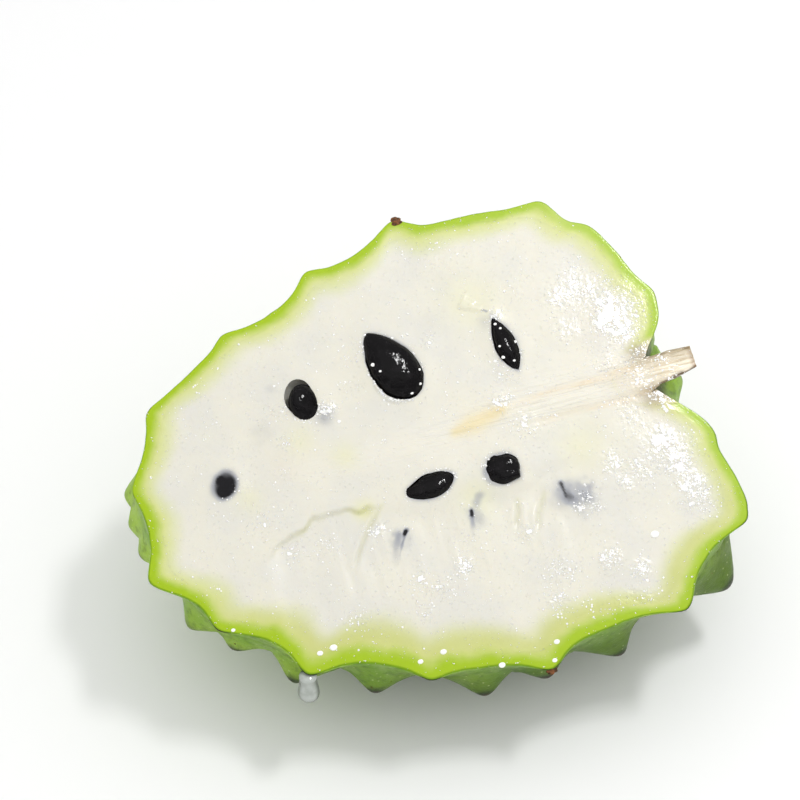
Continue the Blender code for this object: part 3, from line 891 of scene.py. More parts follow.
class Recipe:
    """A procedural material while it is put together."""

    def __init__(self, name, finish_values):
        self.material = bpy.data.materials.new(name)
        self.material.use_nodes = True
        self.tree = self.material.node_tree
        self.shader = self.tree.nodes["Principled BSDF"]
        for socket, value in finish_values.items():
            self.shader.inputs[socket].default_value = value
        self.object_place = self.tree.nodes.new("ShaderNodeTexCoord").outputs["Object"]

    def join(self, value, socket):
        if isinstance(value, bpy.types.NodeSocket):
            self.tree.links.new(value, socket)
        else:
            socket.default_value = value

    def mark(self, name):
        node = self.tree.nodes.new("ShaderNodeAttribute")
        node.attribute_name = name
        return node.outputs["Fac"]

    def noise(self, size, detail=2.0, place=None):
        """Soft noise between 0 and 1 whose patches are about this big, in metres."""
        node = self.tree.nodes.new("ShaderNodeTexNoise")
        self.join(place or self.object_place, node.inputs["Vector"])
        node.inputs["Scale"].default_value = 1 / size
        node.inputs["Detail"].default_value = detail
        return node.outputs["Fac"]

    def cells(self, size):
        """Distance from the middle of the nearest of many scattered cells."""
        node = self.tree.nodes.new("ShaderNodeTexVoronoi")
        self.join(self.object_place, node.inputs["Vector"])
        node.inputs["Scale"].default_value = 1 / size
        return node.outputs["Distance"]

    def rise(self, value, low, high, least=0.0, most=1.0):
        node = self.tree.nodes.new("ShaderNodeMapRange")
        node.interpolation_type = "SMOOTHSTEP"
        self.join(value, node.inputs["Value"])
        for socket, number in zip(("From Min", "From Max", "To Min", "To Max"), (low, high, least, most)):
            node.inputs[socket].default_value = number
        return node.outputs["Result"]

    def sum(self, first, second, operation="ADD"):
        node = self.tree.nodes.new("ShaderNodeMath")
        node.operation = operation
        self.join(first, node.inputs[0])
        self.join(second, node.inputs[1])
        return node.outputs[0]

    def product(self, first, second):
        return self.sum(first, second, "MULTIPLY")

    def mix(self, share, first, second):
        node = self.tree.nodes.new("ShaderNodeMix")
        node.data_type = "RGBA"
        self.join(share, node.inputs[0])
        self.join(first, node.inputs[6])
        self.join(second, node.inputs[7])
        return node.outputs[2]

    def bump(self, height, depth, strength=1.0, below=None):
        node = self.tree.nodes.new("ShaderNodeBump")
        node.inputs["Distance"].default_value = depth
        node.inputs["Strength"].default_value = strength
        self.join(height, node.inputs["Height"])
        if below is not None:
            self.join(below, node.inputs["Normal"])
        return node.outputs["Normal"]

    def done(self, colour, roughness=None, normal=None):
        self.join(colour, self.shader.inputs["Base Color"])
        if roughness is not None:
            self.join(roughness, self.shader.inputs["Roughness"])
        if normal is not None:
            self.join(normal, self.shader.inputs["Normal"])
        return self.material


def wet_pulp():
    """Cut rind, flesh and core: one material, whose marks say where each colour lies."""
    if "wet_pulp" in bpy.data.materials:
        return bpy.data.materials["wet_pulp"]
    flesh, core = settings().flesh, settings().core
    made = Recipe("wet_pulp", {
        "Coat Roughness": 0.07, "Coat IOR": 1.36, "IOR": 1.4, "Specular IOR Level": 0.14,
        "Subsurface Weight": 0.15, "Subsurface Radius": (1.0, 0.8, 0.45), "Subsurface Scale": 0.0012,
    })
    cloud = made.noise(0.011, 2.5)
    colour = made.mix(made.rise(cloud, 0.38, 0.66), flesh.cream, flesh.white)
    colour = made.mix(made.product(made.mark("core"), 0.5), colour, display(236, 231, 216))
    uneven = made.product(made.sum(made.noise(0.006, 3.0), -0.5), 3.0)
    edge = made.sum(made.mark("from_edge"), uneven)
    colour = made.mix(made.rise(edge, 9.0, 1.8, 0, 0.95), colour, flesh.pale_green)
    colour = made.mix(made.product(made.mark("lower_band"), 0.6), colour, display(190, 194, 112))
    colour = made.mix(made.rise(edge, 3.6, 0.9), colour, flesh.lime)
    colour = made.mix(made.product(made.mark("yellow"), 0.55), colour, display(222, 222, 150))
    colour = made.mix(made.product(made.mark("crease"), 0.42), colour, display(196, 196, 128))
    place = made.tree.nodes.new("ShaderNodeCombineXYZ")
    made.join(made.product(made.mark("along"), 0.12), place.inputs[0])
    made.join(made.product(made.mark("across"), 1.9), place.inputs[1])
    fibres = made.noise(1.0, 2.0, place.outputs[0])
    streaks = made.rise(fibres, 0.40, 0.72)
    colour = made.mix(made.product(made.mark("pink"), 0.4), colour, flesh.beige)
    strand = made.product(made.mark("strand"), made.sum(made.product(streaks, 0.55), 0.30))
    colour = made.mix(strand, colour, flesh.beige)
    colour = made.mix(made.product(made.mark("gold"), 0.55), colour, flesh.gold)
    stub = made.mark("stub")
    wood = made.mix(streaks, core.wood, display(218, 200, 168))
    colour = made.mix(stub, colour, wood)
    colour = made.mix(made.product(stub, made.mark("bark_edge")), colour, core.bark_dark)
    stub_end = made.rise(made.mark("along"), 61.2, 62.4)
    colour = made.mix(made.product(stub, made.product(stub_end, 0.6)), colour, display(138, 104, 70))
    # Painted shade from the seeds: grey where they show through the flesh and round their pockets, near black over
    # the covered ones.
    stain = made.mark("stain")
    colour = made.mix(made.rise(stain, 0.04, 0.5, 0, 0.9), colour, flesh.shadow)
    colour = made.mix(made.rise(stain, 0.42, 0.95), colour, flesh.seed_dark)
    rim_line = made.product(made.rise(made.mark("from_edge"), 0.55, 0.12), made.mark("under"))
    colour = made.mix(rim_line, colour, flesh.lime_edge)
    # Brownish painted shade in the recess round the stub's foot.
    colour = made.mix(made.product(made.mark("notch_shade"), 0.55), colour, display(150, 132, 96))
    moist = made.mark("moist")
    grain = flesh.wet_grain
    # Painted highlight: white glints of the wet grain, mixed into the colour where the flesh is wet and kept off
    # the dark seeds.
    blots = made.noise(grain * 1.9, 3.0)
    coarse = made.rise(made.sum(blots, made.product(moist, 0.22)), 0.78, 0.82)
    sparks = made.noise(grain * 0.62, 2.0)
    fine = made.rise(made.sum(sparks, made.product(moist, 0.11)), 0.69, 0.72)
    flecks = made.sum(coarse, fine, "MAXIMUM")
    clear = made.rise(stain, 0.5, 0.2)
    colour = made.mix(made.product(flecks, clear), colour, flesh.glint)
    wet = made.product(made.noise(grain * 1.4, 2.0), made.sum(made.product(moist, 0.45), 0.03))
    normal = made.bump(made.sum(wet, made.product(flecks, 0.35)), 0.00035)
    normal = made.bump(made.product(made.sum(fibres, 0.0), made.sum(made.mark("core"), stub)), 0.00022, 0.8, normal)
    made.join(normal, made.shader.inputs["Coat Normal"])
    made.join(made.rise(moist, 0.05, 0.9, 0.10, 0.6), made.shader.inputs["Coat Weight"])
    return made.done(colour, made.rise(moist, 0.1, 0.8, 0.38, 0.22), normal)


def green_skin():
    """The rind's outside: waxy green with a pale bloom and dried tips, with painted light on its bump tops and
    painted shade in its grooves, round the bumps' bases and on its lower side.
    """
    rind = settings().rind
    made = Recipe("green_skin", {
        "Coat Weight": 0.06, "Coat Roughness": 0.3, "IOR": 1.42, "Specular IOR Level": 0.3,
        "Subsurface Weight": 0.06, "Subsurface Radius": (0.6, 1.0, 0.2), "Subsurface Scale": 0.001,
    })
    cloud = made.noise(0.014, 3.0)
    knob = made.mark("knob")
    colour = made.mix(made.rise(cloud, 0.36, 0.66), rind.green, rind.light)
    # Painted light and shade: lighter green on the bump tops, darker green round their bases.
    colour = made.mix(made.rise(knob, 0.45, 0.95, 0, 0.6), colour, rind.light)
    colour = made.mix(made.rise(knob, 0.45, 0.10, 0, 0.5), colour, display(92, 138, 28))
    valley = made.product(made.rise(knob, 0.5, 0.08), made.rise(made.noise(0.005, 3.0), 0.4, 0.66))
    colour = made.mix(made.product(valley, 0.34), colour, rind.bloom)
    mottle = made.rise(made.noise(0.0016, 4.0), 0.46, 0.72, 0, 0.42)
    colour = made.mix(mottle, colour, rind.deep)
    # Painted shade on the lower side, behind the face.
    colour = made.mix(made.product(made.mark("shade"), 0.8), colour, rind.deep)
    # Painted shade in the grooves between the bumps.
    colour = made.mix(made.product(made.mark("groove"), 0.42), colour, rind.deep)
    flecks = made.rise(made.cells(0.0017), 0.16, 0.09, 0, 0.5)
    colour = made.mix(flecks, colour, display(196, 208, 140))
    # Painted shade: near-black bump tips, mostly on the lower side.
    colour = made.mix(made.product(made.mark("tip_shade"), 0.9), colour, display(24, 36, 8))
    scarring = made.sum(made.mark("scar"), made.product(made.sum(made.noise(0.0011, 3.0), -0.5), 0.9))
    colour = made.mix(made.rise(scarring, 0.36, 0.72), colour, rind.scar)
    # Painted shade in the recess round the stub's foot.
    colour = made.mix(made.product(made.mark("notch_shade"), 0.8), colour, display(66, 60, 34))
    grain = made.noise(rind.pore_size, 3.0)
    pits = made.rise(made.cells(rind.pore_size * 2.2), 0.22, 0.05)
    normal = made.bump(grain, 0.00016, 0.8)
    normal = made.bump(made.product(pits, -1.0), 0.0001, 0.7, normal)
    normal = made.bump(made.noise(0.003, 2.0), 0.0004, 0.5, normal)
    return made.done(colour, made.rise(made.noise(0.004, 2.0), 0.3, 0.7, 0.38, 0.56), normal)


def bark():
    core = settings().core
    made = Recipe("bark", {"IOR": 1.4})
    place = made.tree.nodes.new("ShaderNodeCombineXYZ")
    made.join(made.product(made.mark("along"), 0.25), place.inputs[0])
    made.join(made.product(made.mark("around"), 1.6), place.inputs[1])
    furrows = made.noise(1.0, 4.0, place.outputs[0])
    colour = made.mix(made.rise(furrows, 0.35, 0.65), core.bark_dark, core.bark)
    end = made.sum(made.rise(made.mark("along"), 60.8, 62.4), made.rise(made.noise(0.0012, 3.0), 0.55, 0.7, 0, 0.4))
    colour = made.mix(end, colour, core.bark_dark)
    return made.done(colour, 0.78, made.bump(furrows, 0.0005))


def seed_coat():
    if "seed_coat" in bpy.data.materials:
        return bpy.data.materials["seed_coat"]
    seeds = settings().seeds
    made = Recipe("seed_coat", {
        "Coat Weight": 0.3, "Coat Roughness": 0.06, "IOR": 1.45, "Specular IOR Level": 0.0,
    })
    worn = made.noise(0.0022, 3.0)
    colour = made.mix(made.rise(worn, 0.45, 0.75), seeds.coat, seeds.coat_worn)
    normal = made.bump(made.noise(0.0005, 2.0), 0.00006)
    normal = made.bump(made.noise(0.0015, 2.0), 0.00014, 1.0, normal)
    made.join(normal, made.shader.inputs["Coat Normal"])
    return made.done(colour, made.rise(worn, 0.4, 0.7, 0.22, 0.42), normal)


def clear_juice():
    if "clear_juice" in bpy.data.materials:
        return bpy.data.materials["clear_juice"]
    made = Recipe("clear_juice", {
        "Roughness": 0.2, "IOR": 1.34, "Coat Weight": 0.5, "Coat Roughness": 0.05,
    })
    clear = settings().juice.clear
    cloudy = made.rise(made.noise(0.0016, 2.0), 0.3, 0.7)
    # Painted shade: the drop turns darker where its surface faces away from the view, for the dark rim of clear
    # juice.
    edge = made.tree.nodes.new("ShaderNodeLayerWeight")
    edge.inputs["Blend"].default_value = 0.4
    colour = made.mix(cloudy, clear, display(166, 172, 164))
    return made.done(made.mix(made.rise(edge.outputs["Facing"], 0.3, 0.75), colour, display(96, 104, 92)))


def white_juice():
    """Beads of juice painted white: a painted highlight that stands in for their sparkle."""
    if "white_juice" in bpy.data.materials:
        return bpy.data.materials["white_juice"]
    made = Recipe("white_juice", {"Roughness": 0.06, "IOR": 1.36, "Coat Weight": 0.6})
    whiteness = made.rise(made.noise(0.001, 2.0), 0.3, 0.7)
    return made.done(made.mix(whiteness, settings().juice.bead_glint_white, display(255, 255, 253)))


def dried_brown():
    if "dried_brown" in bpy.data.materials:
        return bpy.data.materials["dried_brown"]
    made = Recipe("dried_brown", {"IOR": 1.4})
    grain = made.noise(0.0007, 4.0)
    colour = made.mix(made.rise(grain, 0.35, 0.65), settings().rind.scar, display(128, 78, 40))
    return made.done(colour, 0.8, made.bump(grain, 0.0003))


def set_input(modifier, tree, name, value):
    """Sets a node group's input by its socket's identifier."""
    for item in tree.interface.items_tree:
        if item.item_type == "SOCKET" and item.in_out == "INPUT" and item.name == name:
            modifier[item.identifier] = value
            return
    raise ValueError(f"the node group has no input named {name}")


def scatter_tree(name, material, mark):
    """Small domes scattered on a surface where a mark is strong, with named inputs."""
    tree = bpy.data.node_groups.new(name, "GeometryNodeTree")
    socket = tree.interface.new_socket
    socket("Geometry", in_out="INPUT", socket_type="NodeSocketGeometry")
    for label, kind in (("Density", "NodeSocketFloat"), ("Radius", "NodeSocketFloat"),
                        ("Smallest", "NodeSocketFloat"), ("Flatness", "NodeSocketFloat"),
                        ("Fineness", "NodeSocketInt"), ("Seed", "NodeSocketInt")):
        socket(label, in_out="INPUT", socket_type=kind)
    socket("Geometry", in_out="OUTPUT", socket_type="NodeSocketGeometry")
    node, link = tree.nodes.new, tree.links.new
    given = node("NodeGroupInput").outputs
    strength = node("GeometryNodeInputNamedAttribute")
    strength.data_type = "FLOAT"
    strength.inputs["Name"].default_value = mark
    density = node("ShaderNodeMath")
    density.operation = "MULTIPLY"
    link(strength.outputs["Attribute"], density.inputs[0])
    link(given["Density"], density.inputs[1])
    scatter = node("GeometryNodeDistributePointsOnFaces")
    link(given["Geometry"], scatter.inputs["Mesh"])
    link(density.outputs[0], scatter.inputs["Density"])
    link(given["Seed"], scatter.inputs["Seed"])
    dome = node("GeometryNodeMeshIcoSphere")
    link(given["Radius"], dome.inputs["Radius"])
    link(given["Fineness"], dome.inputs["Subdivisions"])
    flat = node("ShaderNodeCombineXYZ")
    flat.inputs[0].default_value = flat.inputs[1].default_value = 1.0
    link(given["Flatness"], flat.inputs[2])
    squash = node("GeometryNodeTransform")
    link(dome.outputs["Mesh"], squash.inputs["Geometry"])
    link(flat.outputs[0], squash.inputs["Scale"])
    sizes = node("FunctionNodeRandomValue")
    sizes.data_type = "FLOAT"
    link(given["Smallest"], sizes.inputs[2])
    sizes.inputs[3].default_value = 1.0
    link(given["Seed"], sizes.inputs["Seed"])
    small_often = node("ShaderNodeMath")
    small_often.operation = "POWER"
    link(sizes.outputs[1], small_often.inputs[0])
    small_often.inputs[1].default_value = 2.0
    placed = node("GeometryNodeInstanceOnPoints")
    link(scatter.outputs["Points"], placed.inputs["Points"])
    link(scatter.outputs["Rotation"], placed.inputs["Rotation"])
    link(squash.outputs["Geometry"], placed.inputs["Instance"])
    link(small_often.outputs[0], placed.inputs["Scale"])
    real = node("GeometryNodeRealizeInstances")
    link(placed.outputs["Instances"], real.inputs["Geometry"])
    smooth = node("GeometryNodeSetShadeSmooth")
    link(real.outputs["Geometry"], smooth.inputs["Geometry"])
    looks = node("GeometryNodeSetMaterial")
    looks.inputs["Material"].default_value = material
    link(smooth.outputs["Geometry"], looks.inputs["Geometry"])
    link(looks.outputs["Geometry"], node("NodeGroupOutput").inputs[0])
    return tree


def scattered(name, surface, material, mark, inputs):
    """A plain mesh of small domes scattered over a finished piece."""
    obj = bpy.data.objects.new(name, surface.data.copy())
    bpy.context.scene.collection.objects.link(obj)
    tree = scatter_tree(name, material, mark)
    modifier = obj.modifiers.new(name, "NODES")
    modifier.node_group = tree
    for label, value in inputs.items():
        set_input(modifier, tree, label, value)
    bpy.context.view_layer.update()
    plain_mesh(obj, modifier)
    return obj


class ATEMOYA_OT_rind(bpy.types.Operator):
    """Build the rind with its bumps, its cut edge and its inner wall"""

    bl_idname = "atemoya.rind"
    bl_label = "Rind"

    def execute(self, context):
        drops = np.radians(90) * (np.arange(1, 112) / 112) ** 1.05
        inner_drops = np.radians(np.linspace(84, 3, 14))
        forms = {drop: rind_form(ways_round(drop)) for drop in (0.0, *drops, *inner_drops)}

        def shell(drop, side):
            return ways_round(drop) * forms[drop][side][:, None]

        outer_edge, inner_edge = shell(0.0, "outer"), shell(0.0, "inner")
        strip = []
        for share in (0.0, 0.25, 0.5, 0.75, 0.9):
            ring = inner_edge + (outer_edge - inner_edge) * share
            ring[:, 2] = cut_face(ring)
            strip.append(ring)
        corner = []
        for inset, height in ((0.16, -0.02), (0.05, -0.09), (0.0, -0.24)):
            ring = outer_edge * (1 - inset / np.linalg.norm(outer_edge, axis=1))[:, None]
            ring[:, 2] = height
            corner.append(ring)
        inside = [shell(drop, "inner") for drop in inner_drops]
        outside = [shell(drop, "outer") for drop in drops]
        back = rind_form(np.array([[0.0, 0.0, -1.0]]))
        points, faces = closed_grid(
            (0, 0, -back["inner"][0]), [*inside, *strip, *corner, *outside], (0, 0, -back["outer"][0])
        )
        rind = new_object("rind", points, faces)
        first_outer = COLUMNS * (len(inside) + len(strip) + len(corner) - 2)
        outer_faces = np.arange(len(faces)) >= first_outer
        for material in (wet_pulp(), green_skin()):
            rind.data.materials.append(material)
        rind.data.polygons.foreach_set("material_index", outer_faces.astype(np.int32))
        carve(rind, [core_room()])
        points = mesh_points(rind.data)
        add_marks(rind.data, face_marks(points))
        add_marks(rind.data, self.skin_marks(points))
        world = to_world(points)
        world[:, 2] = np.maximum(world[:, 2], 0)
        set_points(rind.data, world)
        crease_edges(rind)
        finish(rind, "skin")
        return {"FINISHED"}

    def skin_marks(self, points):
        form = rind_form(ways_of(points))
        chance = np.random.default_rng(SEED_OF_CHANCE)
        dryness = chance.uniform(0, 1, len(BUMPS)) ** 2
        q = points[:, 1]
        # Painted shade: darker on the lower side and behind the face, weaker away from the stem.
        shade = ramp(-q, -10, 44) * ramp(-points[:, 2], -4, 12)
        shade *= 0.35 + 0.65 * ramp(points[:, 0], -45, 0)
        outside = np.linalg.norm(points, axis=1) > form["outer"] - 0.3
        return {
            "knob": form["knob"],
            "groove": form["groove"],
            # Dried tips, with painted shade that makes them darker on the shaded side.
            "scar": form["tip"] * (0.3 + 0.5 * dryness[form["owner"]] + 0.5 * shade),
            "shade": shade,
            # Painted shade on the bump tips, stronger towards the lower side.
            "tip_shade": ramp(form["tip"], 0.02, 0.5) * (0.2 + 0.8 * ramp(-q, 10, 40)),
            "speckle": outside * np.clip(0.5 + soft_noise(points, 12.0, 51), 0, 1) ** 2,
        }


class ATEMOYA_OT_flesh(bpy.types.Operator):
    """Build the flesh with its cut face, its torn ledge and a pocket for each seed"""

    bl_idname = "atemoya.flesh"
    bl_label = "Flesh"

    def execute(self, context):
        edge_way = ways_round(0.0)
        edge = edge_way * (rind_form(edge_way)["inner"] + OVERLAP)[:, None]
        rings = []
        for share in np.arange(1, 119) / 118:
            ring = edge * share
            rings.append(ring)
        top = np.vstack(rings)
        top[:, 2] = cut_face(top)
        rings = list(top.reshape(len(rings), COLUMNS, 3))
        sides = []
        for drop in np.radians(np.linspace(3, 84, 14)):
            ways = ways_round(drop)
            sides.append(ways * (rind_form(ways)["inner"] + OVERLAP)[:, None])
        centre = np.zeros((1, 3))
        deepest = rind_form(np.array([[0.0, 0.0, -1.0]]))["inner"][0] + OVERLAP
        points, faces = closed_grid((0, 0, cut_face(centre)[0]), [*rings, *sides], (0, 0, -deepest))
        flesh = new_object("flesh_pulp", points, faces)
        flesh.data.materials.append(wet_pulp())
        carve(flesh, [core_room(), *seed_rooms()])
        points = mesh_points(flesh.data)
        marks = face_marks(points)
        marks["beaded"] = self.beaded(points, marks)
        add_marks(flesh.data, marks)
        set_points(flesh.data, to_world(points))
        crease_edges(flesh)
        finish(flesh, "flesh")
        return {"FINISHED"}

    def beaded(self, points, marks):
        """Where beads of juice lie: thick in the wet places and thin elsewhere on the face."""
        on_face = points[:, 2] > -2.5
        clear_of_seeds = marks["stain"] < 0.7
        patchy = np.clip(0.5 + 0.9 * soft_noise(points, 2.6, 61), 0, 1) ** 2
        return on_face * (clear_of_seeds * patchy * (0.05 + 0.5 * marks["moist"]) + 0.8 * marks["brim"])


class ATEMOYA_OT_core(bpy.types.Operator):
    """Build the woody stub and the fibrous core that runs into the flesh"""

    bl_idname = "atemoya.core"
    bl_label = "Stub and core"

    def execute(self, context):
        across, round_back = 25, 36
        profile = np.array(CORE_PROFILE[::-1])
        stations = np.linspace(2.0, 62.5, 260)
        radii = np.interp(stations, profile[:, 0], profile[:, 1])
        rings = []
        for s, radius in zip(stations, radii):
            face = np.zeros((across, 3))
            face[:, 0] = s
            brink = cut_face(np.array([[s, radius, 0.0], [s, -radius, 0.0]])).min()
            sunk = math.asin(min(max(-brink / radius, 0), 0.9)) * (s < 50)
            face[:, 1] = np.linspace(radius, -radius, across) * math.cos(sunk)
            turns = np.linspace(math.pi + sunk, 2 * math.pi - sunk, round_back)[1:-1]
            back = np.column_stack(
                (np.full(len(turns), s), -radius * np.cos(turns), radius * np.sin(turns))
            )
            rings.append(np.vstack((face, back[::-1])))
        rings = np.array(rings)
        rings[:, :, 1] *= np.interp(rings[:, :, 0], STUB_PLACES, STUB_WIDTH)
        rings[:, :, 1] += np.interp(rings[:, :, 0], STUB_PLACES, STUB_BEND)
        flat = rings[:, :across].reshape(-1, 3)
        stub = ramp(flat[:, 0], 49.0, 53.0)
        height = cut_face(flat) * (1 - stub)
        height += stub * (fibre_height(flat) * 1.6 - 0.10)
        rings[:, :across, 2] = height.reshape(len(stations), across)
        bark_wave = 0.14 * soft_noise(rings.reshape(-1, 3), (6.0, 0.9, 0.9), 71).reshape(rings.shape[:2])
        outside = ramp(rings[:, :, 0], 50, 55) * (rings[:, :, 2] < -0.5)
        rings[:, :, 1:] *= (1 + bark_wave * outside / 2.8)[:, :, None]
        ends = [ring.mean(axis=0) for ring in (rings[0], rings[-1])]
        points, faces = closed_grid(ends[0], rings, ends[1])
        core = new_object("core_and_stub", points, faces)
        points = mesh_points(core.data)
        core.data.materials.append(wet_pulp())
        core.data.materials.append(bark())
        middles = np.empty(len(core.data.polygons) * 3)
        core.data.polygons.foreach_get("center", middles)
        middles = middles.reshape(-1, 3)
        barky = (middles[:, 2] < -0.45) & (middles[:, 0] > 48) & (middles[:, 0] < 62.45)
        core.data.polygons.foreach_set("material_index", barky.astype(np.int32))
        add_marks(core.data, face_marks(points))
        around = np.arctan2(points[:, 1], -points[:, 2]) * 2.8
        add_marks(core.data, {"around": around})
        set_points(core.data, to_world(points))
        crease_edges(core)
        finish(core, "stem_and_core")
        return {"FINISHED"}


class ATEMOYA_OT_seeds(bpy.types.Operator):
    """Build the nine glossy black seeds"""

    bl_idname = "atemoya.seeds"
    bl_label = "Seeds"

    def execute(self, context):
        for number, seed in enumerate(SEEDS):
            turn, middle = seed_place(seed)
            body, faces = egg(seed[-1], 88, 60, 0.0, SEED_FORMS[number])
            placed = with_corners(number, dented(number, body) @ turn.T + middle, middle)
            bed, film, _, _, _ = SEED_BEDS[number]
            if film:
                placed[:, 2] = np.minimum(placed[:, 2], bed - 1.5 * FILM)
            obj = new_object(f"black_seed_{number + 1}", placed, faces)
            set_points(obj.data, to_world(mesh_points(obj.data)))
            obj.data.materials.append(seed_coat())
            finish(obj, f"seed_{number + 1}")
        return {"FINISHED"}


class ATEMOYA_OT_juice(bpy.types.Operator):
    """Add beads of juice on the cut face and the drop that hangs from the rim"""

    bl_idname = "atemoya.juice"
    bl_label = "Juice"

    def execute(self, context):
        juice, stage = settings().juice, settings().stage
        flesh = bpy.data.objects["flesh_pulp"]
        beads = scattered("juice_beads", flesh, white_juice(), "beaded", {
            "Density": juice.bead_density, "Radius": juice.bead_radius, "Smallest": 0.35,
            "Flatness": 0.5, "Fineness": 1, "Seed": stage.seed,
        })
        finish(beads, [])
        self.rim_drops()
        self.hanging_drop()
        return {"FINISHED"}

    def rim_drops(self):
        """Larger drops that stand on the cut rind and on the seeds."""
        joined = bmesh.new()
        for s, q, size in (*RIM_DROPS, *SEED_DROPS):
            place = np.array([[s, q, 0.0]])
            place[0, 2] = cut_face(place)[0]
            for _, tree in SEED_TREES:
                top = tree.ray_cast(Vector((s, q, 30)), Vector((0, 0, -1)))[0]
                if top is not None:
                    place[0, 2] = max(place[0, 2], top.z)
            shape = Matrix.Translation(Vector(place[0])) @ Matrix.Diagonal((1, 0.8, 0.42, 1))
            bmesh.ops.create_icosphere(joined, subdivisions=3, radius=size / 2, matrix=shape)
        mesh = bpy.data.meshes.new("rim_drops")
        joined.to_mesh(mesh)
        joined.free()
        mesh.shade_smooth()
        obj = bpy.data.objects.new("rim_drops", mesh)
        bpy.context.scene.collection.objects.link(obj)
        set_points(mesh, to_world(mesh_points(mesh)))
        mesh.materials.append(white_juice())
        finish(obj, [])

    def hanging_drop(self):
        """A drop that hangs straight down from the rim, with a round lower end."""
        juice = settings().juice
        length, radius = juice.drop_length, juice.drop_width / 2
        turns = np.linspace(0, 2 * math.pi, 48, endpoint=False)
        rings = []
        for share in np.linspace(0, 1, 40)[:-1]:
            neck = 0.82 + 0.18 * ramp(share, 0.15, 0.75)
            round_end = math.sqrt(1 - max((share - 0.74) / 0.26, 0) ** 2)
            wide = radius * neck * round_end
            rings.append(np.column_stack(
                (wide * np.cos(turns), wide * np.sin(turns), np.full(48, -length * share))
            ))
        points, faces = closed_grid((0, 0, 0), rings, (0, 0, -length))
        obj = new_object("juice_drop", points + to_world(np.array([DRIP_AT]))[0], faces)
        obj.data.materials.append(clear_juice())
        finish(obj, [])


class ATEMOYA_OT_specks(bpy.types.Operator):
    """Add dark specks on the skin and the dried ends of the flower on the rim"""

    bl_idname = "atemoya.specks"
    bl_label = "Specks"

    def execute(self, context):
        rind, stage = settings().rind, settings().stage
        surface = bpy.data.objects["rind"]
        specks = scattered("rind_specks", surface, dried_brown(), "speckle", {
            "Density": rind.speck_density, "Radius": rind.speck_size, "Smallest": 0.35,
            "Flatness": 0.3, "Fineness": 1, "Seed": stage.seed + 1,
        })
        finish(specks, [])
        for number, (s, q, behind, size) in enumerate(DRIED_TIPS):
            points, faces = ball(36, 24)
            ragged = 1 + 0.35 * soft_noise(points + number * 5, 0.5, 91 + number)
            points = points * (ragged * size / 2)[:, None] * (1.0, 0.75, 0.35)
            points += (s, q, -behind)
            tip = new_object(f"dried_tip_{number + 1}", points, faces)
            set_points(tip.data, to_world(mesh_points(tip.data)))
            tip.data.materials.append(dried_brown())
            finish(tip, [])
        return {"FINISHED"}


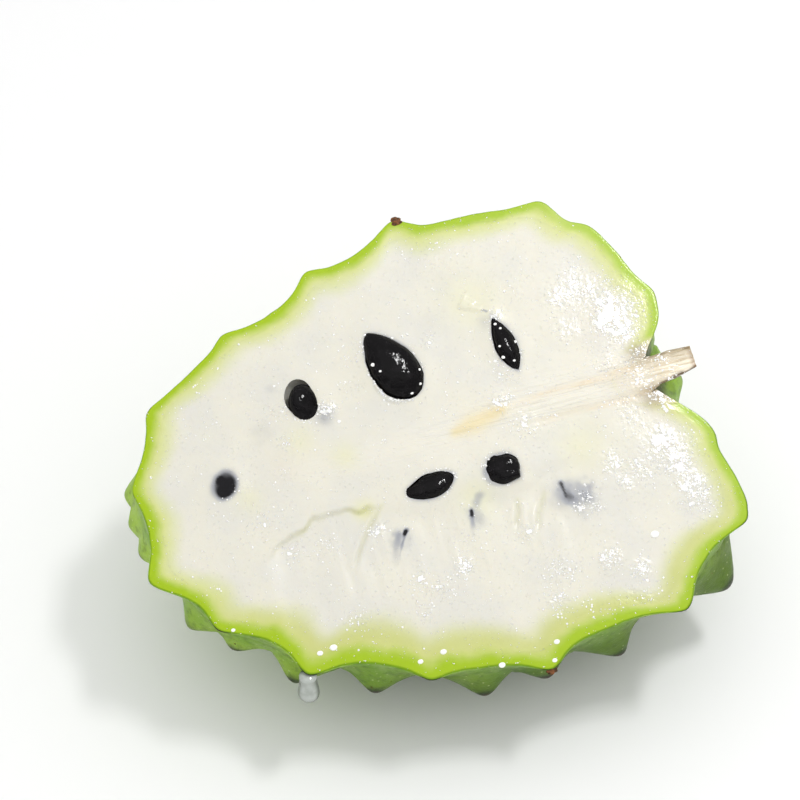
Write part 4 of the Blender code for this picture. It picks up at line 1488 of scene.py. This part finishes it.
class ATEMOYA_OT_stage(bpy.types.Operator):
    """Set the pale floor, the soft lights and the camera"""

    bl_idname = "atemoya.stage"
    bl_label = "Stage"

    def execute(self, context):
        self.floor()
        self.lights()
        self.camera()
        context.scene.view_settings.view_transform = "Standard"
        return {"FINISHED"}

    def floor(self):
        """A wide pale disc whose edge sweeps up into a backdrop all round."""
        turns = np.linspace(0, 2 * math.pi, 96, endpoint=False)
        rings = []
        for radius, height in ((0.3, 0), (0.9, 0), (1.6, 0), (2.0, 0.06), (2.3, 0.3), (2.45, 0.8), (2.5, 1.6)):
            rings.append(np.column_stack((radius * np.cos(turns), radius * np.sin(turns), np.full(96, height))))
        points, faces = closed_grid((0, 0, 0), rings, (0, 0, 0))
        mesh = bpy.data.meshes.new("floor")
        mesh.from_pydata(points[:-1].tolist(), [], faces[:-96])
        mesh.shade_smooth()
        made = Recipe("floor_pale", {"Roughness": 0.8})
        cloud = made.rise(made.noise(0.4, 2.0), 0.3, 0.7)
        pale = settings().stage.floor
        mesh.materials.append(made.done(made.mix(cloud, pale, [value * 0.995 for value in pale[:3]] + [1])))
        floor = bpy.data.objects.new("floor", mesh)
        bpy.context.scene.collection.objects.link(floor)

    def lights(self):
        stage = settings().stage
        world = bpy.data.worlds.new("surroundings")
        bpy.context.scene.world = world
        world.use_nodes = True
        background = world.node_tree.nodes["Background"]
        background.inputs["Color"].default_value = (1.0, 1.0, 1.0, 1.0)
        background.inputs["Strength"].default_value = stage.surroundings
        middle = Vector(ORIGIN)
        for name, way, distance, size, power in (
            ("window", (0.34, 0.02, 0.94), 0.62, (0.13, 0.07), stage.window_power * 0.5),
            ("ceiling", (0.0, -0.2, 0.95), 1.3, (1.7, 1.7), stage.window_power * 1.4),
            ("sparkle", (0.36, 0.06, 0.93), 0.6, (0.13, 0.07), stage.sparkle_power),
        ):
            light = bpy.data.lights.new(name, "AREA")
            light.shape = "RECTANGLE"
            light.size, light.size_y = size
            light.energy = power
            obj = bpy.data.objects.new(name, light)
            obj.visible_diffuse = name != "sparkle"
            bpy.context.scene.collection.objects.link(obj)
            way = Vector(way).normalized()
            obj.location = middle + way * distance
            obj.rotation_euler = way.to_track_quat("Z", "Y").to_euler()

    def camera(self):
        stage = settings().stage
        data = bpy.data.cameras.new("camera")
        data.lens = stage.lens
        data.sensor_width = 36.0
        data.clip_start = 0.01
        camera = bpy.data.objects.new("camera", data)
        bpy.context.scene.collection.objects.link(camera)
        camera.location = Vector(ORIGIN) + Vector((-1.7587, -315.7215, 362.0081)) * MM
        camera.rotation_euler = (math.radians(42), 0, 0)
        bpy.context.scene.camera = camera


OPERATORS = (
    ATEMOYA_OT_rind, ATEMOYA_OT_flesh, ATEMOYA_OT_core, ATEMOYA_OT_seeds, ATEMOYA_OT_juice,
    ATEMOYA_OT_specks, ATEMOYA_OT_stage,
)


class AtemoyaHalf(bpy.types.PropertyGroup):
    rind: PointerProperty(type=AtemoyaRind)
    flesh: PointerProperty(type=AtemoyaFlesh)
    core: PointerProperty(type=AtemoyaCore)
    seeds: PointerProperty(type=AtemoyaSeeds)
    juice: PointerProperty(type=AtemoyaJuice)
    stage: PointerProperty(type=AtemoyaStage)


class ATEMOYA_PT_panel(bpy.types.Panel):
    """Everything that builds the half fruit"""

    bl_label = "Atemoya half"
    bl_idname = "ATEMOYA_PT_panel"
    bl_space_type = "VIEW_3D"
    bl_region_type = "UI"
    bl_category = "Atemoya"

    def draw(self, context):
        for operator in OPERATORS:
            self.layout.operator(operator.bl_idname)
        for group in ("rind", "flesh", "core", "seeds", "juice", "stage"):
            box = self.layout.box()
            box.label(text=group.capitalize())
            values = getattr(context.scene.atemoya_half, group)
            for name in values.__annotations__:
                box.prop(values, name)


CLASSES = (
    AtemoyaRind, AtemoyaFlesh, AtemoyaCore, AtemoyaSeeds, AtemoyaJuice, AtemoyaStage, AtemoyaHalf,
    *OPERATORS, ATEMOYA_PT_panel,
)


def register():
    for each in CLASSES:
        bpy.utils.register_class(each)
    bpy.types.Scene.atemoya_half = PointerProperty(type=AtemoyaHalf)


def unregister():
    del bpy.types.Scene.atemoya_half
    for each in reversed(CLASSES):
        bpy.utils.unregister_class(each)


def main():
    register()
    bpy.ops.atemoya.stage()
    bpy.ops.atemoya.rind()
    bpy.ops.atemoya.flesh()
    bpy.ops.atemoya.core()
    bpy.ops.atemoya.seeds()
    bpy.ops.atemoya.juice()
    bpy.ops.atemoya.specks()


if __name__ == "__main__":
    main()
